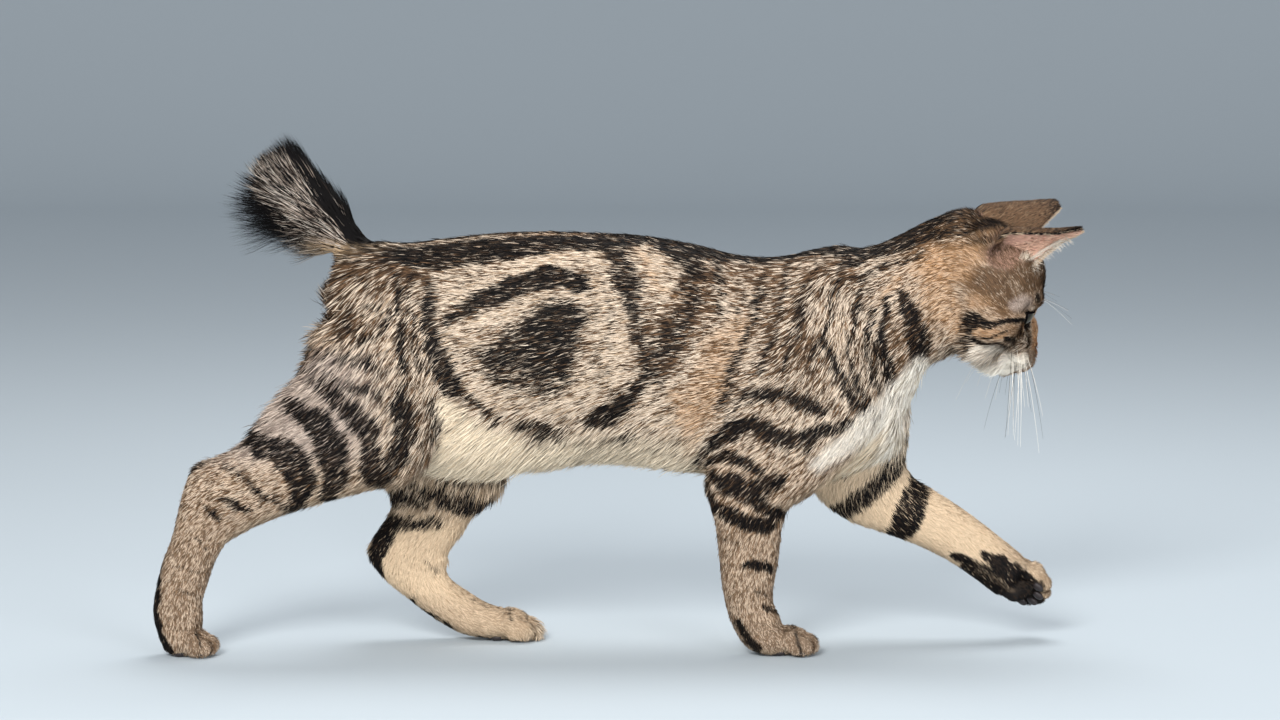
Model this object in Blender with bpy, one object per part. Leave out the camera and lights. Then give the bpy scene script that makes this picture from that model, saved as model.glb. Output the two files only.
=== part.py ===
"""Kurilian bobtail cat, a still life-size model of a young classic-tabby cat in mid-stride.

Frame: +X forward, +Y the cat's left, +Z up, floor at Z = 0, origin at the middle of the bounding box's base.
The body is drawn as sections. Each section of a tube is a line across the side elevation, from its front or top
outline point to its back or bottom one, with a lateral centre and a lateral half-width. The elevation's unit is
0.65 mm, and it is drawn as seen from EYE, so at() moves a point to where it is at its own depth.
"""
import math

import bmesh
import bpy
import numpy as np
from mathutils import Matrix, Vector

# ---------------------------------------------------------------- driving dimensions
UNIT = 0.000652                # one unit of the side elevation at the cat's middle plane, in metres
EYE_DISTANCE = 2.6             # the elevation's viewpoint: to the cat's right, a little above it
EYE_HEIGHT = 0.458
AIM_HEIGHT = 0.190
CENTRE_U, CENTRE_V = 640.0, 360.0
AIM_X = 0.0164
SHIFT_Y = 0.0                  # puts the box's middle at Y = 0
GAP = 0.0003                   # between neighbouring solids
EYEBALL = 0.0103               # radius of an eye
EAR_WALL = 0.0016              # thickness of an ear
EAR_HALF_WIDTH = 0.0190
EAR_DEPTH = 0.0105             # of its cup
VOXEL = 0.0024
BODY_TRIANGLES = 4150

SLOPE = math.atan2(EYE_HEIGHT - AIM_HEIGHT, EYE_DISTANCE)
FOCAL = math.hypot(EYE_DISTANCE, EYE_HEIGHT - AIM_HEIGHT) / UNIT


def at(u, v, y):
    """The point of the side elevation (u to the right, v down) at the depth y millimetres to the cat's left."""
    y = y / 1000.0
    a, b = u - CENTRE_U, CENTRE_V - v
    ahead = FOCAL * math.cos(SLOPE) + b * math.sin(SLOPE)
    t = (y + EYE_DISTANCE) / ahead
    return np.array([AIM_X + a * t, y, EYE_HEIGHT + (b * math.cos(SLOPE) - FOCAL * math.sin(SLOPE)) * t])


# ---------------------------------------------------------------- sections: front/top point, back/bottom point, y mm, half-width mm
TRUNK = [
    (332, 288, 331, 318, 0, 10), (336, 264, 335, 350, 0, 25), (348, 247, 350, 385, 0, 37), (375, 239, 380, 420, 0, 43),
    (415, 238, 420, 454, 0, 46), (460, 233, 465, 469, 0, 46.5), (505, 229, 508, 471, 0, 47), (550, 228, 550, 466, 0, 49),
    (600, 229.5, 600, 460, 0, 51), (650, 233, 650, 463, 0, 52), (700, 242, 698, 472, 0, 52), (745, 252, 742, 480, 0, 50),
    (785, 252, 785, 484, 0, 48), (825, 244, 832, 480, 0, 45), (862, 244, 872, 464, 0, 41), (893, 262, 900, 442, 0, 34),
    (904, 330, 905, 405, 0, 16),
]
NECK = [
    (812, 252, 850, 470, 0, 42), (850, 246, 888, 440, 0, 41), (880, 240, 913, 398, 1, 37), (905, 229, 929, 368, 3, 34.5),
    (930, 217, 947, 358, 5, 33), (955, 209, 965, 352, 6, 31),
]
HIND_RIGHT = [
    (440, 284, 372, 278, -18, 12), (452, 312, 342, 300, -24, 20), (457, 350, 320, 328, -28.5, 26.5), (453, 400, 314, 346, -31, 28),
    (441, 446, 303, 368, -33, 26), (414, 480, 290, 383, -34, 23.5), (374, 491, 274, 402, -34, 21), (333, 501, 256, 425, -33.5, 18.5),
    (294, 513, 238, 443, -33, 16.5), (257, 527, 216, 455, -32, 14.5), (231, 541, 195, 464, -31, 12.5), (222, 551, 182, 493, -30.5, 12),
    (215, 564, 172, 535, -30, 12.3), (209, 582, 162, 562, -30, 12.8), (203, 602, 155, 592, -30, 13.3), (205, 622, 153, 614, -30, 14.5),
    (210, 642, 159, 638, -30, 15),
]
HIND_LEFT = [
    (455, 300, 376, 284, 18, 12), (475, 345, 348, 325, 26, 23), (498, 395, 355, 390, 31, 27), (512, 440, 366, 440, 34, 25),
    (508, 478, 380, 478, 35, 21), (492, 500, 390, 497, 35, 18), (476, 516, 387, 514, 34, 15.5), (465, 532, 377, 530, 33, 14),
    (452, 550, 367, 548, 32, 13), (447, 568, 371, 562, 31.5, 12.5), (453, 580, 385, 580, 31, 12.3), (468, 591, 407, 598, 31, 12.8),
    (488, 603, 432, 617, 31, 13.3), (508, 607, 458, 632, 31, 14.5), (522, 612, 478, 637, 31, 15),
]
FORE_RIGHT = [
    (846, 288, 800, 288, -17, 12), (870, 312, 788, 310, -24, 18), (892, 345, 775, 345, -29, 23), (892, 400, 758, 395, -31, 23.5),
    (868, 445, 735, 430, -32, 22.5), (835, 478, 714, 458, -32.5, 20.5), (808, 498, 704, 480, -32, 18.5), (792, 508, 708, 500, -31, 16.5),
    (783, 530, 714, 522, -30, 15), (779, 560, 718, 552, -29, 14), (774, 588, 721, 582, -28, 13.3), (775, 606, 725, 604, -27, 13.6),
    (786, 622, 731, 624, -26.5, 14.5), (796, 640, 740, 641, -26, 15),
]
FORE_LEFT = [
    (846, 288, 800, 288, 17, 12), (874, 312, 792, 312, 24, 18), (898, 345, 792, 345, 29, 23), (910, 395, 795, 405, 31, 23.5),
    (910, 430, 800, 455, 32.5, 22), (907, 458, 815, 494, 33, 19.5), (912, 474, 845, 519, 33, 17.5), (930, 487, 880, 532, 33, 16),
    (952, 501, 918, 546, 32.5, 15), (975, 517, 948, 561, 32, 14), (998, 535, 972, 577, 31.5, 13.5), (1018, 551, 992, 592, 31, 14.5),
    (1033, 567, 1008, 603, 31, 15),
]
TAIL = [
    (405, 244, 356, 284, 0, 17), (381, 237, 334, 266, 0, 15), (362, 224, 316, 258, 0, 17), (348, 207, 296, 251, 0, 20),
    (338, 191, 276, 248, 0, 24), (328, 174, 255, 238, 0, 27.5), (318, 158, 240, 222, 0, 28), (302, 150, 236, 203, 0, 24),
    (288, 150, 241, 190, 0, 17), (276, 156, 248, 178, 0, 9),
]

# ---------------------------------------------------------------- head frame: the cat looks down and to its left
NOSE = at(1037, 355, 17)
FORWARD = np.array([0.600, 0.226, -0.767])
LEFT = np.array([-0.172, 0.974, 0.152])
FORWARD /= np.linalg.norm(FORWARD)
LEFT -= LEFT.dot(FORWARD) * FORWARD
LEFT /= np.linalg.norm(LEFT)
UP = np.cross(FORWARD, LEFT)
HEAD = NOSE - 0.0520 * FORWARD + 0.0140 * UP


def head(f, l, u):
    """A point of the head, in millimetres forward, left and up from its middle."""
    return HEAD + (f * FORWARD + l * LEFT + u * UP) / 1000.0


# sections across the head: forward, middle height, half-height, half-width
SKULL = [
    (-46, -8, 22, 22), (-34, -8, 30, 30.5), (-20, -8.8, 36, 35.5), (-6, -10.2, 38.8, 37.5), (6, -12.5, 37.5, 35.5),
    (14, -15.3, 33.8, 31.5), (21, -18.8, 28.3, 25.5), (28, -21.8, 22.3, 20), (35, -22.8, 18.3, 17), (42, -22.8, 15.3, 14.5), (47, -23, 11.5, 11),
]
# masses of the face: centre (f, l, u), radii along f, l, u; l is mirrored
FACE = [
    ((39.5, 8.4, -23.5), (10.8, 9.6, 9.2)), ((5, 22, -24), (23, 15.5, 21)), ((10, 15, 5.5), (11, 11, 9)), ((26, 11, -19), (17, 11, 12)),
    ((-19, 23, 9), (15, 10, 12)), ((10.5, 18.5, -35.5), (19, 14, 17)),
]
MIDDLE = [
    ((40, 0, -35), (11.5, 10.5, 8)), ((25, 0, -35), (23, 18, 13)), ((45.4, 0, -15.6), (6.8, 6.0, 5.8)), ((27, 0, -8), (16, 8.0, 8)), ((38, 0, -14), (12, 7.2, 7.5)),
]
EYES = (13.0, 16.6, -6.6)
EAR_BASE = (-26.0, 28.0, 7.5)
EAR_TIP = {1: (-8.0, 38.0, 59.0), -1: (-11.0, 38.0, 54.5)}


# ---------------------------------------------------------------- shapes
def through(rows, per):
    """Catmull-Rom through the rows, per samples to a span."""
    r = np.array(rows, float)
    p = np.vstack([2 * r[0] - r[1], r, 2 * r[-1] - r[-2]])
    out = []
    for i in range(1, len(p) - 2):
        for k in range(per):
            t = k / per
            out.append(0.5 * (2 * p[i] + (p[i + 1] - p[i - 1]) * t + (2 * p[i - 1] - 5 * p[i] + 4 * p[i + 1] - p[i + 2]) * t * t
                              + (3 * p[i] - p[i - 1] - 3 * p[i + 1] + p[i + 2]) * t ** 3))
    out.append(p[-2])
    return np.array(out)


def skin_rings(bm, rings):
    """Bridges rings of points into one closed tube."""
    loops = [[bm.verts.new(Vector(p)) for p in ring] for ring in rings]
    for a, b in zip(loops, loops[1:]):
        for i in range(len(a)):
            j = (i + 1) % len(a)
            bm.faces.new((a[i], a[j], b[j], b[i]))
    bm.faces.new(loops[0][::-1])
    bm.faces.new(loops[-1])


def ring(centre, across, aside, n=36, power=2.15):
    out = []
    for i in range(n):
        w = 2 * math.pi * i / n
        c, s = math.cos(w), math.sin(w)
        out.append(centre + across * math.copysign(abs(c) ** (2 / power), c) + aside * math.copysign(abs(s) ** (2 / power), s))
    return out


def domed(rings_data, n, power):
    """Rings for the sections, with a rounded end beyond the first and the last."""
    out = []
    (c0, a0, s0), (c1, a1, s1) = rings_data[0], rings_data[1]
    (e0, b0, t0), (e1, b1, t1) = rings_data[-1], rings_data[-2]
    first = (c0 - c1) / max(np.linalg.norm(c0 - c1), 1e-9) * min(np.linalg.norm(a0), np.linalg.norm(s0)) * 0.8
    last = (e0 - e1) / max(np.linalg.norm(e0 - e1), 1e-9) * min(np.linalg.norm(b0), np.linalg.norm(t0)) * 0.8
    for k in (0.97, 0.8, 0.5):
        q = math.sqrt(1 - k * k)
        out.append(ring(c0 + first * k, a0 * q, s0 * q, n, power))
    out += [ring(c, a, s, n, power) for c, a, s in rings_data]
    for k in (0.5, 0.8, 0.97):
        q = math.sqrt(1 - k * k)
        out.append(ring(e0 + last * k, b0 * q, t0 * q, n, power))
    return out


def limb(bm, rows, per=3, n=36, power=2.15):
    data = []
    for u1, v1, u2, v2, y, b in through(rows, per):
        one, two = at(u1, v1, y), at(u2, v2, y)
        data.append(((one + two) / 2, (one - two) / 2, np.array([0, b / 1000.0, 0])))
    skin_rings(bm, domed(data, n, power))


def ball(bm, centre, radii, axes=((1, 0, 0), (0, 1, 0), (0, 0, 1)), subdivisions=4):
    made = bmesh.ops.create_icosphere(bm, subdivisions=subdivisions, radius=1.0)["verts"]
    a = np.array(axes, float) * np.array(radii, float)[:, None] / 1000.0
    for v in made:
        v.co = Vector(np.array(centre) + np.array(v.co) @ a)


def paw(bm, tip, y, floor, turn=0.0, pitch=0.0, size=1.0, roll=0.0):
    """Metacarpal mass and four toes. tip is the front of the toes in the elevation, floor the height under the pads."""
    base = at(tip[0], tip[1], y)
    base[2] = floor if floor is not None else base[2]
    ct, st, cp, sp = math.cos(turn), math.sin(turn), math.cos(pitch), math.sin(pitch)
    fwd = np.array([ct * cp, st * cp, sp])
    lat = np.array([-st, ct, 0.0])
    up = np.cross(fwd, lat)
    cr, sr = math.cos(roll), math.sin(roll)
    lat, up = lat * cr + up * sr, up * cr - lat * sr
    axes = (fwd, lat, up)

    def place(f, l, u):
        return base + (f * fwd + l * lat + u * up) * size / 1000.0

    r = size
    for l, back in ((-11.2, 14.5), (-4.2, 10.0), (4.2, 9.6), (11.2, 14.0)):
        ball(bm, place(-back, l, 6.3), (9.8 * r, 5.2 * r, 7.6 * r), axes, 3)
        ball(bm, place(-back - 6, l * 0.9, 9.8), (8.5 * r, 5.0 * r, 6.6 * r), axes, 3)
    ball(bm, place(-25, 0, 9.5), (15 * r, 13.6 * r, 9.8 * r), axes, 3)
    ball(bm, place(-22, 0, 4.5), (12 * r, 9.5 * r, 5.6 * r), axes, 3)


def skull(bm):
    data = []
    for f, u, hh, hw in through(SKULL, 3):
        data.append((head(f, 0, u), UP * hh / 1000.0, LEFT * hw / 1000.0))
    skin_rings(bm, domed(data, 40, 2.1))
    axes = (FORWARD, LEFT, UP)
    for (f, l, u), radii in FACE:
        for side in (1, -1):
            ball(bm, head(f, l * side, u), radii, axes, 4)
    for (f, l, u), radii in MIDDLE:
        ball(bm, head(f, l, u), radii, axes, 4)


def ear_frame(side):
    """Base, axis and unit axis of the left (1) or right (-1) ear."""
    base, tip = (head(f, l * side, u) for f, l, u in (EAR_BASE, EAR_TIP[side]))
    axis = tip - base
    return base, axis, axis / np.linalg.norm(axis)


def ear_point(side, s, k):
    """A point of the ear's middle sheet and its outward normal: s along the ear, k across it from the front edge (-1) to the back one (1).
    The ear is a cup that opens to the side at its base and twists towards the front at its tip."""
    base, axis, unit = ear_frame(side)
    q = min(max(s, 0.0), 0.985)
    turned = min(q * 1.5, 1.0)
    opening = (0.20 + 0.60 * turned) * FORWARD + (0.92 - 0.34 * turned) * side * LEFT - (0.25 - 0.10 * turned) * UP
    opening -= opening.dot(unit) * unit
    opening /= np.linalg.norm(opening)
    across = np.cross(unit, opening) * side
    w = EAR_HALF_WIDTH * (1 - q) ** 0.72 * (1 + 0.20 * q)
    d = EAR_DEPTH * (1 - q) ** 0.9
    half = math.radians(100 - 26 * q)
    turn = k * half
    out = across * (math.sin(turn) / max(w, 1e-5)) - opening * (math.cos(turn) / max(d, 1e-5))
    middle = base + axis * s + across * (math.sin(turn) * w / math.sin(min(half, math.pi / 2))) - opening * (math.cos(turn) * d)
    return middle, out / np.linalg.norm(out)


def ear(bm, side, wall, rows=22, columns=26):
    """The ear's sheet with its two faces, starting inside the head."""
    rings = []
    for i in range(rows + 1):
        s = -0.22 + 1.22 * i / rows
        outer, inner = [], []
        for j in range(columns + 1):
            k = j / columns * 2 - 1
            middle, out = ear_point(side, s, k)
            thick = wall * (1.15 - 0.55 * max(s, 0)) * 0.5 * math.sqrt(max(1 - k ** 6, 0.16))
            outer.append(middle + out * thick)
            inner.append(middle - out * thick)
        rings.append(outer + inner[::-1])
    skin_rings(bm, rings)


# ---------------------------------------------------------------- building
def clear():
    for o in list(bpy.data.objects):
        bpy.data.objects.remove(o)


def finish_mesh(bm, name):
    bmesh.ops.recalc_face_normals(bm, faces=bm.faces)
    if bm.calc_volume(signed=True) < 0:
        bmesh.ops.reverse_faces(bm, faces=bm.faces)
    me = bpy.data.meshes.new(name)
    bm.to_mesh(me)
    bm.free()
    return me


def put(name, me):
    o = bpy.data.objects.new(name, me)
    bpy.context.scene.collection.objects.link(o)
    return o


def evaluated(o):
    bpy.context.view_layer.update()
    graph = bpy.context.evaluated_depsgraph_get()
    return bpy.data.meshes.new_from_object(o.evaluated_get(graph), depsgraph=graph)


def applied(o):
    me = evaluated(o)
    o.modifiers.clear()
    o.data = me
    return o


def smooth(me, weight, rounds, keep=0.53):
    """Taubin smoothing, which doesn't shrink the shape. weight is one number per vertex."""
    n = len(me.vertices)
    co = np.empty(n * 3, np.float32)
    me.vertices.foreach_get("co", co)
    co = co.reshape(-1, 3).astype(float)
    ends = np.empty(len(me.edges) * 2, np.int32)
    me.edges.foreach_get("vertices", ends)
    ends = ends.reshape(-1, 2)
    count = np.bincount(ends.ravel(), minlength=n)[:, None]
    for k in range(rounds * 2):
        total = np.empty_like(co)
        for axis in range(3):
            total[:, axis] = np.bincount(ends[:, 0], co[ends[:, 1], axis], n) + np.bincount(ends[:, 1], co[ends[:, 0], axis], n)
        step = 0.5 if k % 2 == 0 else -keep
        co += (total / count - co) * step * weight[:, None]
    me.vertices.foreach_set("co", co.astype(np.float32).ravel())
    me.update()
    return co


def fused(name, bm, voxel):
    """The outer skin of everything in bm, as one mesh."""
    o = put(name, finish_mesh(bm, name))
    m = o.modifiers.new("fuse", "REMESH")
    m.mode, m.voxel_size, m.adaptivity = "VOXEL", voxel, 0.0
    return applied(o)


def near(co, points, radius):
    """How near each vertex is to any of the points: 1 at them, 0 from radius away."""
    best = np.full(len(co), 1e9)
    for p in points:
        best = np.minimum(best, np.linalg.norm(co - np.array(p), axis=1))
    return np.clip(1 - best / radius, 0, 1)


def body(voxel):
    """The whole cat but its ears and eyes, in one skin."""
    bm = bmesh.new()
    limb(bm, TRUNK, 3, 44)
    limb(bm, NECK, 3, 40)
    for rows in (HIND_RIGHT, HIND_LEFT, FORE_RIGHT, FORE_LEFT, TAIL):
        limb(bm, rows, 3, 32)
    skull(bm)
    paw(bm, (220.5, 640), -30, 0.0, size=0.97)
    paw(bm, (541.5, 640), 31, 0.0, size=1.1)
    paw(bm, (820.5, 640), -26, 0.0, size=1.0)
    paw(bm, (1044, 607), 31, None, pitch=math.radians(-38), size=1.0, roll=math.radians(-42))
    o = fused("body", bm, voxel)
    co = np.array([v.co for v in o.data.vertices])
    fine = near(co, [head(38, 0, -16), head(20, 18, -2), head(20, -18, -2)], 0.045)
    for tip, y in (((205, 640), -30), ((525, 632), 31), ((803, 640), -26), ((1026, 592), 31)):
        fine = np.maximum(fine, near(co, [at(*tip, y)], 0.040))
    weight = 1 - 0.5 * np.clip(fine * 2.2, 0, 1)
    share = (0.0024 / voxel) ** 1.3
    co = smooth(o.data, weight, int(12 * share))
    # the trunk takes the limbs in smoothly, under the coat
    trunk = np.clip((co[:, 2] - 0.125) / 0.04, 0, 1) * np.clip((0.245 - co[:, 0]) / 0.03, 0, 1) * np.clip((co[:, 0] + 0.205) / 0.03, 0, 1)
    smooth(o.data, trunk, int(150 * share), 0.505)
    return o


def joined(a, b, how, name="cut"):
    m = a.modifiers.new(name, "BOOLEAN")
    m.operation, m.object, m.solver = how, b, "EXACT"
    return applied(a)


def slab(corners, y0, y1, grow=0.0):
    """A prism over a polygon of the side elevation, from y0 to y1 millimetres, grown by grow metres."""
    pts = np.array([at(u, v, (y0 + y1) / 2)[[0, 2]] for u, v in corners])
    n = len(pts)
    area = sum(pts[i][0] * pts[(i + 1) % n][1] - pts[(i + 1) % n][0] * pts[i][1] for i in range(n))
    if area < 0:
        pts = pts[::-1]
    out = []
    for i in range(n):
        p, c, q = pts[i - 1], pts[i], pts[(i + 1) % n]
        e1, e2 = (c - p) / np.linalg.norm(c - p), (q - c) / np.linalg.norm(q - c)
        n1, n2 = np.array([e1[1], -e1[0]]), np.array([e2[1], -e2[0]])
        m = (n1 + n2) / (1 + n1.dot(n2))
        out.append(c + m * grow)
    bm = bmesh.new()
    low, high = y0 / 1000 - grow, y1 / 1000 + grow
    a = [bm.verts.new((x, low, z)) for x, z in out]
    b = [bm.verts.new((x, high, z)) for x, z in out]
    bm.faces.new(a)
    bm.faces.new(b[::-1])
    for i in range(n):
        j = (i + 1) % n
        bm.faces.new((a[j], a[i], b[i], b[j]))
    return put("cutter", finish_mesh(bm, "cutter"))


def copy_of(o, name):
    c = put(name, o.data.copy())
    return c


def part_off(rest, name, corners, y0, y1):
    """Takes what lies in a prism out of rest as its own solid, and leaves a thin gap."""
    tool, wide = slab(corners, y0, y1), slab(corners, y0, y1, GAP)
    piece = joined(copy_of(rest, name), tool, "INTERSECT")
    joined(rest, wide, "DIFFERENCE")
    bpy.data.objects.remove(tool)
    bpy.data.objects.remove(wide)
    return piece


def largest(o):
    """Keeps only the largest closed piece of a mesh, so that a cut leaves no crumbs."""
    bm = bmesh.new()
    bm.from_mesh(o.data)
    bmesh.ops.remove_doubles(bm, verts=bm.verts, dist=2e-6)
    bmesh.ops.dissolve_degenerate(bm, dist=2e-6, edges=bm.edges)
    seen, groups = set(), []
    for v in bm.verts:
        if v in seen:
            continue
        stack, group = [v], []
        seen.add(v)
        while stack:
            w = stack.pop()
            group.append(w)
            for e in w.link_edges:
                x = e.other_vert(w)
                if x not in seen:
                    seen.add(x)
                    stack.append(x)
        groups.append(group)
    groups.sort(key=len)
    gone = [v for g in groups[:-1] for v in g]
    bmesh.ops.delete(bm, geom=gone, context="VERTS")
    bmesh.ops.triangulate(bm, faces=bm.faces)
    bm.to_mesh(o.data)
    bm.free()
    return o


def eye_places():
    return {"right": head(EYES[0], -EYES[1], EYES[2]), "left": head(EYES[0], EYES[1], EYES[2])}


def paint(o, name, rgb, rough):
    m = bpy.data.materials.get(name) or bpy.data.materials.new(name)
    m.use_nodes = True
    b = m.node_tree.nodes["Principled BSDF"]
    b.inputs["Base Color"].default_value = (*rgb, 1)
    b.inputs["Roughness"].default_value = rough
    b.inputs["Metallic"].default_value = 0.0
    o.data.materials.clear()
    o.data.materials.append(m)


def main():
    clear()
    whole = body(VOXEL)
    d = whole.modifiers.new("fewer", "DECIMATE")
    d.ratio = BODY_TRIANGLES / (2.0 * len(whole.data.polygons))
    applied(whole)
    # soles: the paws that stand are cut flat at the floor
    floor = slab([(100, 500), (1200, 500), (1200, 700), (100, 700)], -200, 200)
    floor_co = [v.co for v in floor.data.vertices]
    top = max(c.z for c in floor_co)
    for v in floor.data.vertices:
        v.co.z = 0.0 if v.co.z == top or v.co.z > -0.02 else -0.1
    joined(whole, floor, "DIFFERENCE")
    bpy.data.objects.remove(floor)
    nodes = {}
    # eyes and their sockets
    for side, place in eye_places().items():
        bm = bmesh.new()
        ball(bm, place, (EYEBALL * 1000 + 0.3,) * 3, subdivisions=3)
        tool = put("socket", finish_mesh(bm, "socket"))
        joined(whole, tool, "DIFFERENCE")
        bpy.data.objects.remove(tool)
        bm = bmesh.new()
        ball(bm, place, (EYEBALL * 1000,) * 3, subdivisions=3)
        nodes["eye_" + side] = put("eye_" + side, finish_mesh(bm, "eye_" + side))
    # ears, each less a swollen copy of the head
    swollen = copy_of(whole, "swollen")
    m = swollen.modifiers.new("swell", "DISPLACE")
    m.strength, m.mid_level = GAP * 1.2, 0.0
    applied(swollen)
    for side, k in (("right", -1), ("left", 1)):
        bm = bmesh.new()
        ear(bm, k, EAR_WALL, 10, 12)
        o = put("ear_" + side, finish_mesh(bm, "ear_" + side))
        joined(o, swollen, "DIFFERENCE")
        nodes[o.name] = o
    bpy.data.objects.remove(swollen)
    # parting cuts, from the extremities inwards
    nodes["tail"] = part_off(whole, "tail", [(371, 190), (371, 236), (318, 272), (180, 300), (180, 100), (330, 100)], -60, 60)
    nodes["head"] = part_off(whole, "head", [(936, 180), (962, 380), (1000, 430), (1150, 430), (1150, 150), (936, 150)], -90, 120)
    nodes["hind_foot_right"] = part_off(whole, "hind_foot_right", [(120, 440), (176, 500), (240, 548), (260, 700), (120, 700)], -80, -2)
    nodes["shank_right"] = part_off(whole, "shank_right", [(120, 440), (250, 350), (282, 384), (352, 520), (240, 600), (120, 560)], -80, -2)
    nodes["thigh_right"] = part_off(whole, "thigh_right", [(230, 400), (300, 318), (400, 330), (468, 400), (440, 560), (300, 560)], -90, -9)
    nodes["hind_foot_left"] = part_off(whole, "hind_foot_left", [(340, 560), (470, 556), (580, 580), (580, 700), (340, 700)], 2, 80)
    nodes["shank_left"] = part_off(whole, "shank_left", [(330, 486), (530, 486), (530, 590), (330, 590)], 2, 80)
    nodes["thigh_left"] = part_off(whole, "thigh_left", [(300, 395), (330, 318), (420, 318), (545, 420), (545, 510), (300, 510)], 9, 90)
    nodes["front_paw_right"] = part_off(whole, "front_paw_right", [(690, 602), (860, 602), (860, 700), (690, 700)], -80, 20)
    nodes["forearm_right"] = part_off(whole, "forearm_right", [(660, 500), (850, 500), (850, 620), (660, 620)], -80, -2)
    nodes["upper_arm_right"] = part_off(whole, "upper_arm_right", [(680, 440), (735, 395), (800, 380), (880, 400), (880, 540), (680, 540)], -80, -16)
    nodes["front_paw_left"] = part_off(whole, "front_paw_left", [(1003, 520), (975, 600), (1000, 660), (1100, 660), (1100, 520)], -20, 90)
    nodes["forearm_left"] = part_off(whole, "forearm_left", [(905, 440), (865, 560), (900, 650), (1060, 650), (1060, 440)], 8, 90)
    nodes["upper_arm_left"] = part_off(whole, "upper_arm_left", [(790, 440), (790, 395), (880, 385), (960, 400), (960, 600), (790, 600)], 14, 90)
    nodes["neck"] = part_off(whole, "neck", [(862, 180), (905, 420), (960, 440), (990, 180)], -90, 90)
    whole.name = "trunk"
    nodes["trunk"] = whole
    for name, o in nodes.items():
        if not name.startswith("eye"):
            largest(o)
        move = Matrix.Translation((0, SHIFT_Y, 0))
        o.data.transform(move)
        o.name = o.data.name = name
        if name.startswith("eye"):
            paint(o, "eye", (0.55, 0.42, 0.08), 0.08)
        elif name.startswith("ear"):
            paint(o, "ear", (0.42, 0.27, 0.20), 0.8)
        else:
            paint(o, "coat", (0.36, 0.27, 0.19), 0.85)


if __name__ == "__main__":
    main()
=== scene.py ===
"""Kurilian bobtail cat, a young classic tabby in mid-stride: skin, coat, ears, eyes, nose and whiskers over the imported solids.

The shape section repeats the solids' own sections, so that the skin lies inside them by the coat's depth. Markings are
strokes drawn in the same side elevation: u to the right, v down, 0.652 mm to a unit.
"""
import math

import bmesh
import bpy
import numpy as np
from mathutils import Matrix, Vector

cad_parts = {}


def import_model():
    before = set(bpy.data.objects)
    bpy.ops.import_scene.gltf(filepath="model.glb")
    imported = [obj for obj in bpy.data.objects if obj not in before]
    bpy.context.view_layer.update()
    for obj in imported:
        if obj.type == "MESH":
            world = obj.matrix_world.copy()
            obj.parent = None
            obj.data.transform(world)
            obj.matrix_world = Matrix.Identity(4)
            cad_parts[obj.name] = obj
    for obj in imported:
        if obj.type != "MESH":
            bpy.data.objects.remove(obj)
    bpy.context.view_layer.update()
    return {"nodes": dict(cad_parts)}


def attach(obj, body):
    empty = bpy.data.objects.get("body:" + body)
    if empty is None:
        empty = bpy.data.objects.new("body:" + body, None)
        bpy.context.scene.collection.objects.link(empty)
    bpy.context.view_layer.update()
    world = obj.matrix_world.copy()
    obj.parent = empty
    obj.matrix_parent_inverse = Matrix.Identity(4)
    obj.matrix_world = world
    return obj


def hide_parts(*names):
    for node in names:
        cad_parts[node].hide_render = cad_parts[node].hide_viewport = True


# ---------------------------------------------------------------- driving dimensions
UNIT = 0.000652                # one unit of the side elevation at the cat's middle plane, in metres
EYE_DISTANCE = 2.6             # the elevation's viewpoint: to the cat's right, a little above it
EYE_HEIGHT = 0.458
AIM_HEIGHT = 0.190
CENTRE_U, CENTRE_V = 640.0, 360.0
AIM_X = 0.0164
EYEBALL = 0.0103               # radius of an eye
EAR_WALL = 0.0016              # thickness of an ear
EAR_HALF_WIDTH = 0.0190
EAR_DEPTH = 0.0105             # of its cup

SLOPE = math.atan2(EYE_HEIGHT - AIM_HEIGHT, EYE_DISTANCE)
FOCAL = math.hypot(EYE_DISTANCE, EYE_HEIGHT - AIM_HEIGHT) / UNIT


def at(u, v, y):
    """The point of the side elevation (u to the right, v down) at the depth y millimetres to the cat's left."""
    y = y / 1000.0
    a, b = u - CENTRE_U, CENTRE_V - v
    ahead = FOCAL * math.cos(SLOPE) + b * math.sin(SLOPE)
    t = (y + EYE_DISTANCE) / ahead
    return np.array([AIM_X + a * t, y, EYE_HEIGHT + (b * math.cos(SLOPE) - FOCAL * math.sin(SLOPE)) * t])


# ---------------------------------------------------------------- sections: front/top point, back/bottom point, y mm, half-width mm
TRUNK = [
    (332, 288, 331, 318, 0, 10), (336, 264, 335, 350, 0, 25), (348, 247, 350, 385, 0, 37), (375, 239, 380, 420, 0, 43),
    (415, 238, 420, 454, 0, 46), (460, 233, 465, 469, 0, 46.5), (505, 229, 508, 471, 0, 47), (550, 228, 550, 466, 0, 49),
    (600, 229.5, 600, 460, 0, 51), (650, 233, 650, 463, 0, 52), (700, 242, 698, 472, 0, 52), (745, 252, 742, 480, 0, 50),
    (785, 252, 785, 484, 0, 48), (825, 244, 832, 480, 0, 45), (862, 244, 872, 464, 0, 41), (893, 262, 900, 442, 0, 34),
    (904, 330, 905, 405, 0, 16),
]
NECK = [
    (812, 252, 850, 470, 0, 42), (850, 246, 888, 440, 0, 41), (880, 240, 913, 398, 1, 37), (905, 229, 929, 368, 3, 34.5),
    (930, 217, 947, 358, 5, 33), (955, 209, 965, 352, 6, 31),
]
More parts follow.
